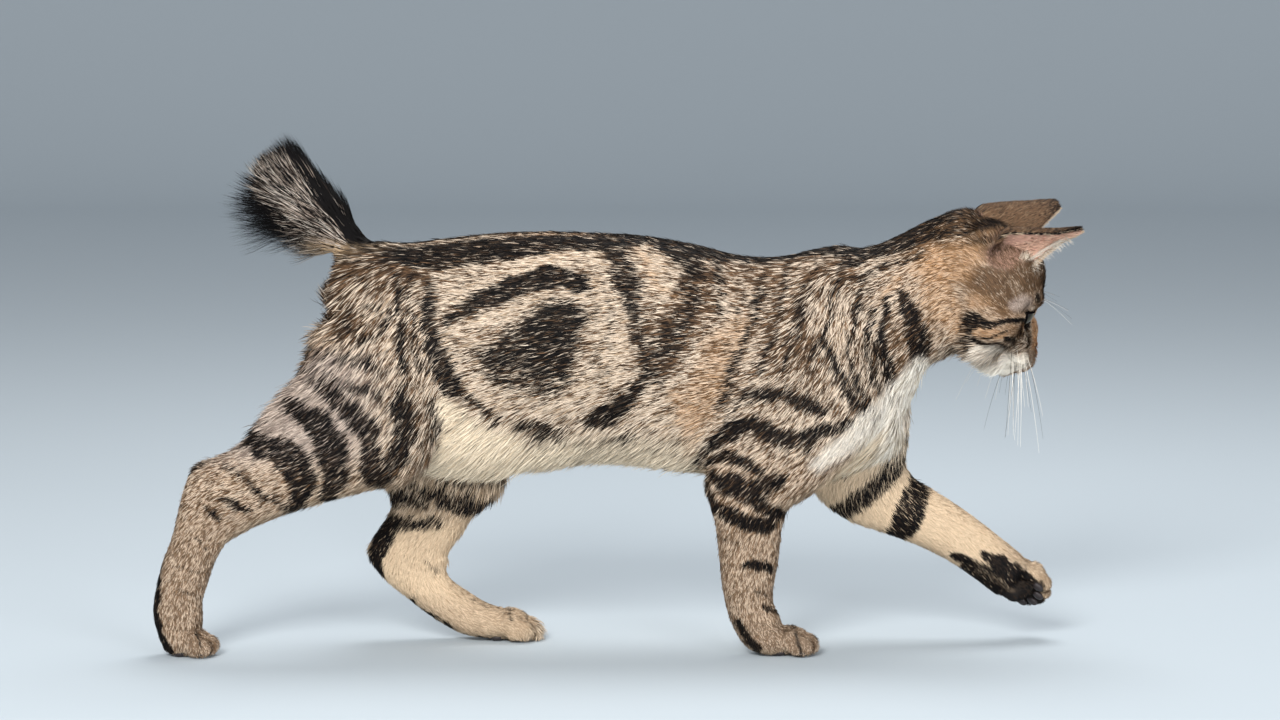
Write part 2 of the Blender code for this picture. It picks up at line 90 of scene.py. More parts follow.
HIND_RIGHT = [
    (440, 284, 372, 278, -18, 12), (452, 312, 342, 300, -24, 20), (457, 350, 320, 328, -28.5, 26.5), (453, 400, 314, 346, -31, 28),
    (441, 446, 303, 368, -33, 26), (414, 480, 290, 383, -34, 23.5), (374, 491, 274, 402, -34, 21), (333, 501, 256, 425, -33.5, 18.5),
    (294, 513, 238, 443, -33, 16.5), (257, 527, 216, 455, -32, 14.5), (231, 541, 195, 464, -31, 12.5), (222, 551, 182, 493, -30.5, 12),
    (215, 564, 172, 535, -30, 12.3), (209, 582, 162, 562, -30, 12.8), (203, 602, 155, 592, -30, 13.3), (205, 622, 153, 614, -30, 14.5),
    (210, 642, 159, 638, -30, 15),
]
HIND_LEFT = [
    (455, 300, 376, 284, 18, 12), (475, 345, 348, 325, 26, 23), (498, 395, 355, 390, 31, 27), (512, 440, 366, 440, 34, 25),
    (508, 478, 380, 478, 35, 21), (492, 500, 390, 497, 35, 18), (476, 516, 387, 514, 34, 15.5), (465, 532, 377, 530, 33, 14),
    (452, 550, 367, 548, 32, 13), (447, 568, 371, 562, 31.5, 12.5), (453, 580, 385, 580, 31, 12.3), (468, 591, 407, 598, 31, 12.8),
    (488, 603, 432, 617, 31, 13.3), (508, 607, 458, 632, 31, 14.5), (522, 612, 478, 637, 31, 15),
]
FORE_RIGHT = [
    (846, 288, 800, 288, -17, 12), (870, 312, 788, 310, -24, 18), (892, 345, 775, 345, -29, 23), (892, 400, 758, 395, -31, 23.5),
    (868, 445, 735, 430, -32, 22.5), (835, 478, 714, 458, -32.5, 20.5), (808, 498, 704, 480, -32, 18.5), (792, 508, 708, 500, -31, 16.5),
    (783, 530, 714, 522, -30, 15), (779, 560, 718, 552, -29, 14), (774, 588, 721, 582, -28, 13.3), (775, 606, 725, 604, -27, 13.6),
    (786, 622, 731, 624, -26.5, 14.5), (796, 640, 740, 641, -26, 15),
]
FORE_LEFT = [
    (846, 288, 800, 288, 17, 12), (874, 312, 792, 312, 24, 18), (898, 345, 792, 345, 29, 23), (910, 395, 795, 405, 31, 23.5),
    (910, 430, 800, 455, 32.5, 22), (907, 458, 815, 494, 33, 19.5), (912, 474, 845, 519, 33, 17.5), (930, 487, 880, 532, 33, 16),
    (952, 501, 918, 546, 32.5, 15), (975, 517, 948, 561, 32, 14), (998, 535, 972, 577, 31.5, 13.5), (1018, 551, 992, 592, 31, 14.5),
    (1033, 567, 1008, 603, 31, 15),
]
TAIL = [
    (405, 244, 356, 284, 0, 17), (381, 237, 334, 266, 0, 15), (362, 224, 316, 258, 0, 17), (348, 207, 296, 251, 0, 20),
    (338, 191, 276, 248, 0, 24), (328, 174, 255, 238, 0, 27.5), (318, 158, 240, 222, 0, 28), (302, 150, 236, 203, 0, 24),
    (288, 150, 241, 190, 0, 17), (276, 156, 248, 178, 0, 9),
]

# ---------------------------------------------------------------- head frame: the cat looks down and to its left
NOSE = at(1037, 355, 17)
FORWARD = np.array([0.600, 0.226, -0.767])
LEFT = np.array([-0.172, 0.974, 0.152])
FORWARD /= np.linalg.norm(FORWARD)
LEFT -= LEFT.dot(FORWARD) * FORWARD
LEFT /= np.linalg.norm(LEFT)
UP = np.cross(FORWARD, LEFT)
HEAD = NOSE - 0.0520 * FORWARD + 0.0140 * UP


def head(f, l, u):
    """A point of the head, in millimetres forward, left and up from its middle."""
    return HEAD + (f * FORWARD + l * LEFT + u * UP) / 1000.0


# sections across the head: forward, middle height, half-height, half-width
SKULL = [
    (-46, -8, 22, 22), (-34, -8, 30, 30.5), (-20, -8.8, 36, 35.5), (-6, -10.2, 38.8, 37.5), (6, -12.5, 37.5, 35.5),
    (14, -15.3, 33.8, 31.5), (21, -18.8, 28.3, 25.5), (28, -21.8, 22.3, 20), (35, -22.8, 18.3, 17), (42, -22.8, 15.3, 14.5), (47, -23, 11.5, 11),
]
# masses of the face: centre (f, l, u), radii along f, l, u; l is mirrored
FACE = [
    ((39.5, 8.4, -23.5), (10.8, 9.6, 9.2)), ((5, 22, -24), (23, 15.5, 21)), ((10, 15, 5.5), (11, 11, 9)), ((26, 11, -19), (17, 11, 12)),
    ((-19, 23, 9), (15, 10, 12)), ((10.5, 18.5, -35.5), (19, 14, 17)),
]
MIDDLE = [
    ((40, 0, -35), (11.5, 10.5, 8)), ((25, 0, -35), (23, 18, 13)), ((45.4, 0, -15.6), (6.8, 6.0, 5.8)), ((27, 0, -8), (16, 8.0, 8)), ((38, 0, -14), (12, 7.2, 7.5)),
]
EYES = (13.0, 16.6, -6.6)
EAR_BASE = (-26.0, 28.0, 7.5)
EAR_TIP = {1: (-8.0, 38.0, 59.0), -1: (-11.0, 38.0, 54.5)}


# ---------------------------------------------------------------- shapes
def through(rows, per):
    """Catmull-Rom through the rows, per samples to a span."""
    r = np.array(rows, float)
    p = np.vstack([2 * r[0] - r[1], r, 2 * r[-1] - r[-2]])
    out = []
    for i in range(1, len(p) - 2):
        for k in range(per):
            t = k / per
            out.append(0.5 * (2 * p[i] + (p[i + 1] - p[i - 1]) * t + (2 * p[i - 1] - 5 * p[i] + 4 * p[i + 1] - p[i + 2]) * t * t
                              + (3 * p[i] - p[i - 1] - 3 * p[i + 1] + p[i + 2]) * t ** 3))
    out.append(p[-2])
    return np.array(out)


def skin_rings(bm, rings):
    """Bridges rings of points into one closed tube."""
    loops = [[bm.verts.new(Vector(p)) for p in ring] for ring in rings]
    for a, b in zip(loops, loops[1:]):
        for i in range(len(a)):
            j = (i + 1) % len(a)
            bm.faces.new((a[i], a[j], b[j], b[i]))
    bm.faces.new(loops[0][::-1])
    bm.faces.new(loops[-1])


def ring(centre, across, aside, n=36, power=2.15):
    out = []
    for i in range(n):
        w = 2 * math.pi * i / n
        c, s = math.cos(w), math.sin(w)
        out.append(centre + across * math.copysign(abs(c) ** (2 / power), c) + aside * math.copysign(abs(s) ** (2 / power), s))
    return out


def domed(rings_data, n, power):
    """Rings for the sections, with a rounded end beyond the first and the last."""
    out = []
    (c0, a0, s0), (c1, a1, s1) = rings_data[0], rings_data[1]
    (e0, b0, t0), (e1, b1, t1) = rings_data[-1], rings_data[-2]
    first = (c0 - c1) / max(np.linalg.norm(c0 - c1), 1e-9) * min(np.linalg.norm(a0), np.linalg.norm(s0)) * 0.8
    last = (e0 - e1) / max(np.linalg.norm(e0 - e1), 1e-9) * min(np.linalg.norm(b0), np.linalg.norm(t0)) * 0.8
    for k in (0.97, 0.8, 0.5):
        q = math.sqrt(1 - k * k)
        out.append(ring(c0 + first * k, a0 * q, s0 * q, n, power))
    out += [ring(c, a, s, n, power) for c, a, s in rings_data]
    for k in (0.5, 0.8, 0.97):
        q = math.sqrt(1 - k * k)
        out.append(ring(e0 + last * k, b0 * q, t0 * q, n, power))
    return out


def limb(bm, rows, per=3, n=36, power=2.15):
    data = []
    for u1, v1, u2, v2, y, b in through(rows, per):
        one, two = at(u1, v1, y), at(u2, v2, y)
        data.append(((one + two) / 2, (one - two) / 2, np.array([0, b / 1000.0, 0])))
    skin_rings(bm, domed(data, n, power))


def ball(bm, centre, radii, axes=((1, 0, 0), (0, 1, 0), (0, 0, 1)), subdivisions=4):
    made = bmesh.ops.create_icosphere(bm, subdivisions=subdivisions, radius=1.0)["verts"]
    a = np.array(axes, float) * np.array(radii, float)[:, None] / 1000.0
    for v in made:
        v.co = Vector(np.array(centre) + np.array(v.co) @ a)


def paw(bm, tip, y, floor, turn=0.0, pitch=0.0, size=1.0, roll=0.0):
    """Metacarpal mass and four toes. tip is the front of the toes in the elevation, floor the height under the pads."""
    base = at(tip[0], tip[1], y)
    base[2] = floor if floor is not None else base[2]
    ct, st, cp, sp = math.cos(turn), math.sin(turn), math.cos(pitch), math.sin(pitch)
    fwd = np.array([ct * cp, st * cp, sp])
    lat = np.array([-st, ct, 0.0])
    up = np.cross(fwd, lat)
    cr, sr = math.cos(roll), math.sin(roll)
    lat, up = lat * cr + up * sr, up * cr - lat * sr
    axes = (fwd, lat, up)

    def place(f, l, u):
        return base + (f * fwd + l * lat + u * up) * size / 1000.0

    r = size
    for l, back in ((-11.2, 14.5), (-4.2, 10.0), (4.2, 9.6), (11.2, 14.0)):
        ball(bm, place(-back, l, 6.3), (9.8 * r, 5.2 * r, 7.6 * r), axes, 3)
        ball(bm, place(-back - 6, l * 0.9, 9.8), (8.5 * r, 5.0 * r, 6.6 * r), axes, 3)
    ball(bm, place(-25, 0, 9.5), (15 * r, 13.6 * r, 9.8 * r), axes, 3)
    ball(bm, place(-22, 0, 4.5), (12 * r, 9.5 * r, 5.6 * r), axes, 3)


def skull(bm):
    data = []
    for f, u, hh, hw in through(SKULL, 3):
        data.append((head(f, 0, u), UP * hh / 1000.0, LEFT * hw / 1000.0))
    skin_rings(bm, domed(data, 40, 2.1))
    axes = (FORWARD, LEFT, UP)
    for (f, l, u), radii in FACE:
        for side in (1, -1):
            ball(bm, head(f, l * side, u), radii, axes, 4)
    for (f, l, u), radii in MIDDLE:
        ball(bm, head(f, l, u), radii, axes, 4)


def ear_frame(side):
    """Base, axis and unit axis of the left (1) or right (-1) ear."""
    base, tip = (head(f, l * side, u) for f, l, u in (EAR_BASE, EAR_TIP[side]))
    axis = tip - base
    return base, axis, axis / np.linalg.norm(axis)


def ear_point(side, s, k):
    """A point of the ear's middle sheet and its outward normal: s along the ear, k across it from the front edge (-1) to the back one (1).
    The ear is a cup that opens to the side at its base and twists towards the front at its tip."""
    base, axis, unit = ear_frame(side)
    q = min(max(s, 0.0), 0.985)
    turned = min(q * 1.5, 1.0)
    opening = (0.20 + 0.60 * turned) * FORWARD + (0.92 - 0.34 * turned) * side * LEFT - (0.25 - 0.10 * turned) * UP
    opening -= opening.dot(unit) * unit
    opening /= np.linalg.norm(opening)
    across = np.cross(unit, opening) * side
    w = EAR_HALF_WIDTH * (1 - q) ** 0.72 * (1 + 0.20 * q)
    d = EAR_DEPTH * (1 - q) ** 0.9
    half = math.radians(100 - 26 * q)
    turn = k * half
    out = across * (math.sin(turn) / max(w, 1e-5)) - opening * (math.cos(turn) / max(d, 1e-5))
    middle = base + axis * s + across * (math.sin(turn) * w / math.sin(min(half, math.pi / 2))) - opening * (math.cos(turn) * d)
    return middle, out / np.linalg.norm(out)


def ear(bm, side, wall, rows=22, columns=26):
    """The ear's sheet with its two faces, starting inside the head."""
    rings = []
    for i in range(rows + 1):
        s = -0.22 + 1.22 * i / rows
        outer, inner = [], []
        for j in range(columns + 1):
            k = j / columns * 2 - 1
            middle, out = ear_point(side, s, k)
            thick = wall * (1.15 - 0.55 * max(s, 0)) * 0.5 * math.sqrt(max(1 - k ** 6, 0.16))
            outer.append(middle + out * thick)
            inner.append(middle - out * thick)
        rings.append(outer + inner[::-1])
    skin_rings(bm, rings)


def finish_mesh(bm, name):
    bmesh.ops.recalc_face_normals(bm, faces=bm.faces)
    if bm.calc_volume(signed=True) < 0:
        bmesh.ops.reverse_faces(bm, faces=bm.faces)
    me = bpy.data.meshes.new(name)
    bm.to_mesh(me)
    bm.free()
    return me


def put(name, me):
    o = bpy.data.objects.new(name, me)
    bpy.context.scene.collection.objects.link(o)
    return o


def evaluated(o):
    bpy.context.view_layer.update()
    graph = bpy.context.evaluated_depsgraph_get()
    return bpy.data.meshes.new_from_object(o.evaluated_get(graph), depsgraph=graph)


def applied(o):
    me = evaluated(o)
    o.modifiers.clear()
    o.data = me
    return o


def smooth(me, weight, rounds, keep=0.53):
    """Taubin smoothing, which doesn't shrink the shape. weight is one number per vertex."""
    n = len(me.vertices)
    co = np.empty(n * 3, np.float32)
    me.vertices.foreach_get("co", co)
    co = co.reshape(-1, 3).astype(float)
    ends = np.empty(len(me.edges) * 2, np.int32)
    me.edges.foreach_get("vertices", ends)
    ends = ends.reshape(-1, 2)
    count = np.bincount(ends.ravel(), minlength=n)[:, None]
    for k in range(rounds * 2):
        total = np.empty_like(co)
        for axis in range(3):
            total[:, axis] = np.bincount(ends[:, 0], co[ends[:, 1], axis], n) + np.bincount(ends[:, 1], co[ends[:, 0], axis], n)
        step = 0.5 if k % 2 == 0 else -keep
        co += (total / count - co) * step * weight[:, None]
    me.vertices.foreach_set("co", co.astype(np.float32).ravel())
    me.update()
    return co


def fused(name, bm, voxel):
    """The outer skin of everything in bm, as one mesh."""
    o = put(name, finish_mesh(bm, name))
    m = o.modifiers.new("fuse", "REMESH")
    m.mode, m.voxel_size, m.adaptivity = "VOXEL", voxel, 0.0
    return applied(o)


def near(co, points, radius):
    """How near each vertex is to any of the points: 1 at them, 0 from radius away."""
    best = np.full(len(co), 1e9)
    for p in points:
        best = np.minimum(best, np.linalg.norm(co - np.array(p), axis=1))
    return np.clip(1 - best / radius, 0, 1)



# ---------------------------------------------------------------- skin
SKIN_VOXEL = 0.0024
# the tail's flesh, a short bent bone inside the pompom
TAIL_CORE = [
    (400, 246, 362, 280, 0, 14), (378, 238, 342, 264, 0, 11), (356, 224, 328, 249, 0, 9.5), (337, 207, 310, 231, 0, 8.5),
    (320, 191, 292, 214, 0, 8), (306, 177, 277, 199, 0, 7), (297, 168, 270, 190, 0, 5),
]
# coat along each limb from its first section: share of the way, hair length mm, coat depth mm
COATS = {
    "trunk": [(0, 13, 4.6), (0.1, 12.5, 4.4), (0.4, 11, 3.8), (1, 10.5, 3.8)],
    "neck": [(0, 10.5, 3.8), (0.5, 9, 3.3), (1, 7.5, 2.7)],
    "hind": [(0, 12.5, 4.2), (0.25, 12, 3.8), (0.42, 9, 2.9), (0.58, 6, 2.0), (0.75, 4.5, 1.4), (1, 3.2, 1.1)],
    "fore": [(0, 11, 3.8), (0.3, 9.5, 3.2), (0.5, 7, 2.3), (0.72, 4.6, 1.5), (1, 3.2, 1.1)],
    "tail": [(0, 11, 4), (0.2, 13, 4), (0.42, 23, 6), (0.62, 31, 7), (0.82, 26, 7), (1, 17, 7)],
}
LIMBS = {
    "trunk": (TRUNK, "trunk", -1), "neck": (NECK, "neck", -1), "hind_right": (HIND_RIGHT, "hind", 1), "hind_left": (HIND_LEFT, "hind", 1),
    "fore_right": (FORE_RIGHT, "fore", 1), "fore_left": (FORE_LEFT, "fore", 1), "tail": (TAIL_CORE, "tail", 1),
}
LIMB_NAMES = list(LIMBS)


def unit(v):
    return v / np.maximum(np.linalg.norm(v, axis=-1, keepdims=True), 1e-12)


def step(x, low, high):
    """0 below low, 1 above high, smooth between."""
    t = np.clip((x - low) / (high - low), 0, 1)
    return t * t * (3 - 2 * t)


def local(co):
    """Head-frame coordinates in millimetres."""
    q = (co - HEAD) * 1000.0
    return q @ FORWARD, q @ LEFT, q @ UP


def elevation(co):
    """Side-elevation coordinates of points."""
    ahead = (co[:, 1] + EYE_DISTANCE) * math.cos(SLOPE) - (co[:, 2] - EYE_HEIGHT) * math.sin(SLOPE)
    up = (co[:, 1] + EYE_DISTANCE) * math.sin(SLOPE) + (co[:, 2] - EYE_HEIGHT) * math.cos(SLOPE)
    return CENTRE_U + FOCAL * (co[:, 0] - AIM_X) / ahead, CENTRE_V - FOCAL * up / ahead


def limb_frames(rows):
    """Centres, tangents, half-heights and half-widths along a limb, closely spaced."""
    c, n, b = [], [], []
    for u1, v1, u2, v2, y, half in through(rows, 3):
        one, two = at(u1, v1, y), at(u2, v2, y)
        c.append((one + two) / 2)
        n.append((one - two) / 2)
        b.append(half / 1000.0)
    c, n, b = np.array(c), np.array(n), np.array(b)
    return c, unit(np.gradient(c, axis=0)), n, b


FRAMES = {name: limb_frames(rows) for name, (rows, _, _) in LIMBS.items()}


def membership(co):
    """For each point: weights of the limbs and of the head, and the share of the way along each limb."""
    far, along = [], []
    for name in LIMB_NAMES:
        c, t, n, b = FRAMES[name]
        q = co[:, None, :] - c[None]
        high = np.linalg.norm(n, axis=1)
        a = np.einsum("ijk,jk->ij", q, unit(n)) / high
        w = q[:, :, 1] / b
        s = np.einsum("ijk,jk->ij", q, t) / (0.35 * (high + b))
        d = np.sqrt(a * a + w * w + s * s)
        best = d.argmin(axis=1)
        far.append(d[np.arange(len(co)), best])
        along.append(best / (len(c) - 1))
    f, l, u = local(co)
    far.append(np.sqrt(((f - 2) / 46) ** 2 + (l / 36) ** 2 + ((u + 12) / 40) ** 2))
    far = np.array(far).T
    weight = np.exp(-9 * (far - far.min(axis=1, keepdims=True)))
    return weight / weight.sum(axis=1, keepdims=True), np.array(along).T


def coat_at(co, weight, along):
    """Hair length and coat depth at each point, in metres."""
    length, depth = np.zeros(len(co)), np.zeros(len(co))
    for k, name in enumerate(LIMB_NAMES):
        table = np.array(COATS[LIMBS[name][1]], float)
        length += weight[:, k] * np.interp(along[:, k], table[:, 0], table[:, 1])
        depth += weight[:, k] * np.interp(along[:, k], table[:, 0], table[:, 2])
    f, l, u = local(co)
    face = step(f, -12, 30)
    cheek = step(-u, 22, 40) * step(30 - f, 0, 14)
    length += weight[:, -1] * (5.6 - 3.4 * face + 3.0 * cheek)
    depth += weight[:, -1] * (2.5 - 1.7 * face + 0.8 * cheek)
    uu, vv = elevation(co)
    belly = step(vv, 425, 460) * step(uu, 430, 480) * (1 - step(uu, 680, 730)) * weight[:, 0]
    chest = step(uu, 850, 880) * step(vv, 350, 400) * (weight[:, 0] + weight[:, 1])
    patch = step(uu, 425, 445) * (1 - step(uu, 535, 560)) * step(vv, 405, 430) * (1 - step(vv, 470, 505)) * (weight[:, 0] + weight[:, 2] + weight[:, 3])
    tail = weight[:, LIMB_NAMES.index("tail")]
    edge = np.interp(vv, [240, 270, 320, 370, 400, 420, 440, 460], [345, 335, 326, 318, 290, 262, 228, 205])
    breech = (1 - step(uu - edge, 10, 46)) * (1 - step(vv, 448, 468)) * step(vv, 250, 285) * (weight[:, 2] + weight[:, 3] + weight[:, 0]) * (1 - tail)
    under = np.exp(-((uu - 336) / 17) ** 2 - ((vv - 262) / 18) ** 2)
    length += 5 * belly + 3 * chest + 5 * patch + 6 * breech + 7 * under
    depth += 1.2 * belly + 1.5 * patch + 2.0 * breech + 1.5 * under
    for tip, y, floor, tilt, size in PAWS:
        base, fwd, lat, up = paw_frame(tip, y, floor, tilt)
        q = (co - base) * 1000.0 / size
        length *= 1 - 0.38 * step(q @ fwd, -24, -12) * (np.abs(q @ lat) < 20) * (np.abs(q @ up - 8) < 18)
    return length / 1000.0, depth / 1000.0


def vertex_normals(me):
    out = np.empty(len(me.vertices) * 3, np.float32)
    me.vertices.foreach_get("normal", out)
    return out.reshape(-1, 3).astype(float)


def coordinates(me):
    out = np.empty(len(me.vertices) * 3, np.float32)
    me.vertices.foreach_get("co", out)
    return out.reshape(-1, 3).astype(float)


def finer(me, centre_radius):
    """Subdivides the faces near any of the (centre, radius) pairs."""
    bm = bmesh.new()
    bm.from_mesh(me)
    edges = set()
    for f in bm.faces:
        c = f.calc_center_median()
        if any((c - Vector(p)).length < r for p, r in centre_radius):
            edges.update(f.edges)
    bmesh.ops.subdivide_edges(bm, edges=list(edges), cuts=1, use_grid_fill=True)
    bmesh.ops.triangulate(bm, faces=[f for f in bm.faces if len(f.verts) > 4])
    bm.to_mesh(me)
    bm.free()


EYE_LOOK = (0.962, 0.215, 0.13)        # which way an eye looks, in the head frame; the middle number is sideways
EYE_ROLL = math.radians(14)          # its outer corner is higher
EYE_LONG, EYE_UPPER, EYE_LOWER = 9.4, 5.9, 5.0


def eye_frame(side):
    """Centre, look, outward-corner and upward axes of an eye."""
    centre = head(EYES[0], EYES[1] * side, EYES[2])
    look = unit(EYE_LOOK[0] * FORWARD + EYE_LOOK[1] * side * LEFT + EYE_LOOK[2] * UP)
    out = side * LEFT - (side * LEFT).dot(look) * look
    out = unit(out)
    up = unit(np.cross(look, out)) * (1 if np.cross(look, out).dot(UP) > 0 else -1)
    c, s = math.cos(EYE_ROLL), math.sin(EYE_ROLL)
    return centre, look, out * c + up * s, up * c - out * s


def lid_height(a, upper):
    """Half-height of the eye's opening at the place a along it, from the inner corner (-1) to the outer one (1)."""
    a = np.clip(a, -1, 1)
    if upper:
        return EYE_UPPER * np.maximum(1 - np.abs(a) ** 1.8, 0) ** 0.80 * (1 + 0.04 * a)
    return EYE_LOWER * np.maximum(1 - np.abs(a) ** 1.9, 0) ** 0.86 * (1 + 0.10 * a)


def carve_face(co, normals):
    """Lids, philtrum, mouth line and a hollow for the nose leather: moves the skin's points."""
    co = co.copy()
    for side in (1, -1):
        centre, look, out, up = eye_frame(side)
        q = (co - centre) * 1000.0
        a, b, c = q @ out, q @ up, q @ look
        r = np.linalg.norm(q, axis=1)
        t = a / EYE_LONG
        beyond = np.maximum(np.maximum(b - lid_height(t, True), -b - lid_height(t, False)), np.abs(a) - EYE_LONG)
        front = step(c, -1.0, 2.0) * step(24.0 - r, 0, 6)
        ball_r = EYEBALL * 1000
        wanted = np.where(beyond < 0.2, ball_r - 1.3, ball_r + 0.10 + 0.16 * np.clip(beyond, 0, 5))
        hold = np.where(beyond < 0.2, 1.0, 1 - step(beyond, 1.2, 7.5)) * front
        new = centre + unit(q) * (wanted / 1000.0)[:, None]
        co = co * (1 - hold[:, None]) + new * hold[:, None]
    f, l, u = local(co)
    # philtrum, and the mouth line from it back to the corners
    groove = np.exp(-(l / 0.8) ** 2) * step(-u, 18.5, 20) * (1 - step(-u, 27, 29)) * step(f, 40, 46)
    course = -27.5 - 1.3 * np.sin(np.clip(np.abs(l) / 9.0, 0, 1) * math.pi) - 3.0 * step(np.abs(l), 8, 20)
    mouth = np.exp(-((u - course) / 0.85) ** 2) * step(f, 22, 32) * (1 - step(np.abs(l), 15, 20))
    leather = (1 - step(np.sqrt((l / 5.0) ** 2 + ((u + 16.4) / 4.8) ** 2), 0.75, 1.15)) * step(f, 38, 42)
    inward = (0.0011 * groove + 0.0018 * mouth)[:, None]
    co -= FORWARD * (0.0026 * leather)[:, None]
    co -= normals * inward
    return co


# tip in the elevation, depth, floor, (pitch, roll), size; the lifted paw turns its sole to the side
PAWS = [((220.5, 640), -30, 0.0, (0.0, 0.0), 0.97), ((541.5, 640), 31, 0.0, (0.0, 0.0), 1.1), ((820.5, 640), -26, 0.0, (0.0, 0.0), 1.0),
        ((1044, 607), 31, None, (math.radians(-38), math.radians(-42)), 1.0)]


def paw_frame(tip, y, floor, tilt):
    base = at(tip[0], tip[1], y)
    base[2] = floor if floor is not None else base[2]
    fwd, lat = np.array([math.cos(tilt[0]), 0.0, math.sin(tilt[0])]), np.array([0.0, 1.0, 0.0])
    up, c, s = np.cross(fwd, lat), math.cos(tilt[1]), math.sin(tilt[1])
    return base, fwd, lat * c + up * s, up * c - lat * s


def sculpt_paw(co, tip, y, floor, tilt, size):
    """Draws the skin's points round a paw onto its toes, its back and its heel pad, with clefts between the toes."""
    base, fwd, lat, up = paw_frame(tip, y, floor, tilt)
    q = (co - base) * 1000.0 / size
    local_q = np.stack([q @ fwd, q @ lat, q @ up], 1)
    held = step(local_q[:, 0], -33, -22) * step(22 - np.abs(local_q[:, 1]), 0, 3) * step(30 - local_q[:, 2], 0, 8) * step(local_q[:, 2] + 12, 0, 3)
    near_it = np.nonzero(held > 0.01)[0]
    r = local_q[near_it]
    skin = 1.3
    parts = []
    for l, back, wide in ((-10.6, 13.5, 4.8), (-3.8, 9.6, 4.5), (3.8, 9.2, 4.5), (10.6, 13.0, 4.8)):
        parts.append(((-back, l * 1.04, 7.2), (9.3, wide, 7.9)))
        parts.append(((-back - 6.0, l * 0.94, 11.2), (8.6, wide, 8.0)))
    parts.append(((-28, 0, 10.4), (15.5, 12.6, 10.0)))
    parts.append(((-23, 0, 4.6), (10.5, 8.6, 5.2)))
    for _ in range(7):
        total, slope = np.zeros(len(r)), np.zeros((len(r), 3))
        for centre, radii in parts:
            e = (r - centre) / np.array(radii)
            k0 = np.linalg.norm(e, axis=1)
            g = e / np.array(radii)
            k1 = np.maximum(np.linalg.norm(g, axis=1), 1e-6)
            d = k0 * (k0 - 1) / k1
            w = np.exp(-(d) / 0.55)
            total += w
            slope += w[:, None] * (g / k1[:, None])
        d = -0.55 * np.log(np.maximum(total, 1e-12)) + skin
        slope = unit(slope)
        r = r - slope * np.clip(d, -3, 3)[:, None] * 0.8
    out = co.copy()
    new = base + (r[:, :1] * fwd + r[:, 1:2] * lat + r[:, 2:] * up) * size / 1000.0
    out[near_it] = co[near_it] * (1 - held[near_it, None]) + new * held[near_it, None]
    return out


def skin_mesh():
    bm = bmesh.new()
    limb(bm, TRUNK, 3, 44)
    limb(bm, NECK, 3, 40)
    for rows in (HIND_RIGHT, HIND_LEFT, FORE_RIGHT, FORE_LEFT, TAIL_CORE):
        limb(bm, rows, 3, 32)
    skull(bm)
    for side in (1, -1):
        ball(bm, head(-38, 25 * side, 6), (12, 9.5, 10.5), (FORWARD, LEFT, UP), 3)
    for tip, y, floor, tilt, size in PAWS:
        paw(bm, tip, y, floor, pitch=tilt[0], size=size, roll=tilt[1])
    o = fused("skin", bm, SKIN_VOXEL)
    me = o.data
    co = coordinates(me)
    toes = [(paw_frame(tip, y, floor, tilt)[0] - paw_frame(tip, y, floor, tilt)[1] * 0.016) for tip, y, floor, tilt, size in PAWS]
    fine = np.maximum(near(co, [head(38, 0, -16), head(20, 18, -2), head(20, -18, -2)], 0.045), near(co, toes, 0.040))
    co = smooth(me, 1 - 0.5 * np.clip(fine * 2.2, 0, 1), 14)
    trunk = np.clip((co[:, 2] - 0.125) / 0.04, 0, 1) * np.clip((0.245 - co[:, 0]) / 0.03, 0, 1) * np.clip((co[:, 0] + 0.205) / 0.03, 0, 1)
    smooth(me, trunk, 150, 0.505)
    face = [(head(40, 0, -22), 0.026), (head(18, 17, -3), 0.019), (head(18, -17, -3), 0.019)]
    closest = [(head(50, 0, -22), 0.013), (head(16, 19, -3), 0.0135), (head(16, -19, -3), 0.0135)]
    finer(me, face + [(p, 0.026) for p in toes])
    finer(me, closest)
    co = coordinates(me)
    smooth(me, near(co, [p for p, _ in face], 0.04) * 0.9, 5)
    co = coordinates(me)
    weight, along = membership(co)
    _, depth = coat_at(co, weight, along)
    tail = LIMB_NAMES.index("tail")
    depth *= 1 - weight[:, tail] * step(along[:, tail], 0.12, 0.42)
    co = co - vertex_normals(me) * depth[:, None]
    me.vertices.foreach_set("co", co.astype(np.float32).ravel())
    me.update()
    smooth(me, np.ones(len(co)) * 0.5, 2)
    co = hollowed(carve_face(coordinates(me), vertex_normals(me)))
    for tip, y, floor, tilt, size in PAWS:
        co = sculpt_paw(co, tip, y, floor, tilt, size)
    co[:, 2] = np.maximum(co[:, 2], 0.0006)
    me.vertices.foreach_set("co", co.astype(np.float32).ravel())
    me.update()
    smooth(me, near(co, toes, 0.03) * 0.35, 1)
    co = coordinates(me)
    co[:, 2] = np.maximum(co[:, 2], 0.0006)
    me.vertices.foreach_set("co", co.astype(np.float32).ravel())
    bm = bmesh.new()
    bm.from_mesh(me)
    bmesh.ops.triangulate(bm, faces=bm.faces)
    bm.to_mesh(me)
    bm.free()
    me.polygons.foreach_set("use_smooth", np.ones(len(me.polygons), bool))
    me.update()
    return o


def unwrap(o):
    """The skin's own unwrap, for it and for all the tufts that grow on it."""
    bpy.context.view_layer.objects.active = o
    o.select_set(True)
    bpy.ops.object.mode_set(mode="EDIT")
    bpy.ops.mesh.select_all(action="SELECT")
    bpy.ops.uv.smart_project(angle_limit=math.radians(70), island_margin=0.003)
    bpy.ops.object.mode_set(mode="OBJECT")
    o.select_set(False)
    o.data.uv_layers[0].name = "OFBake"


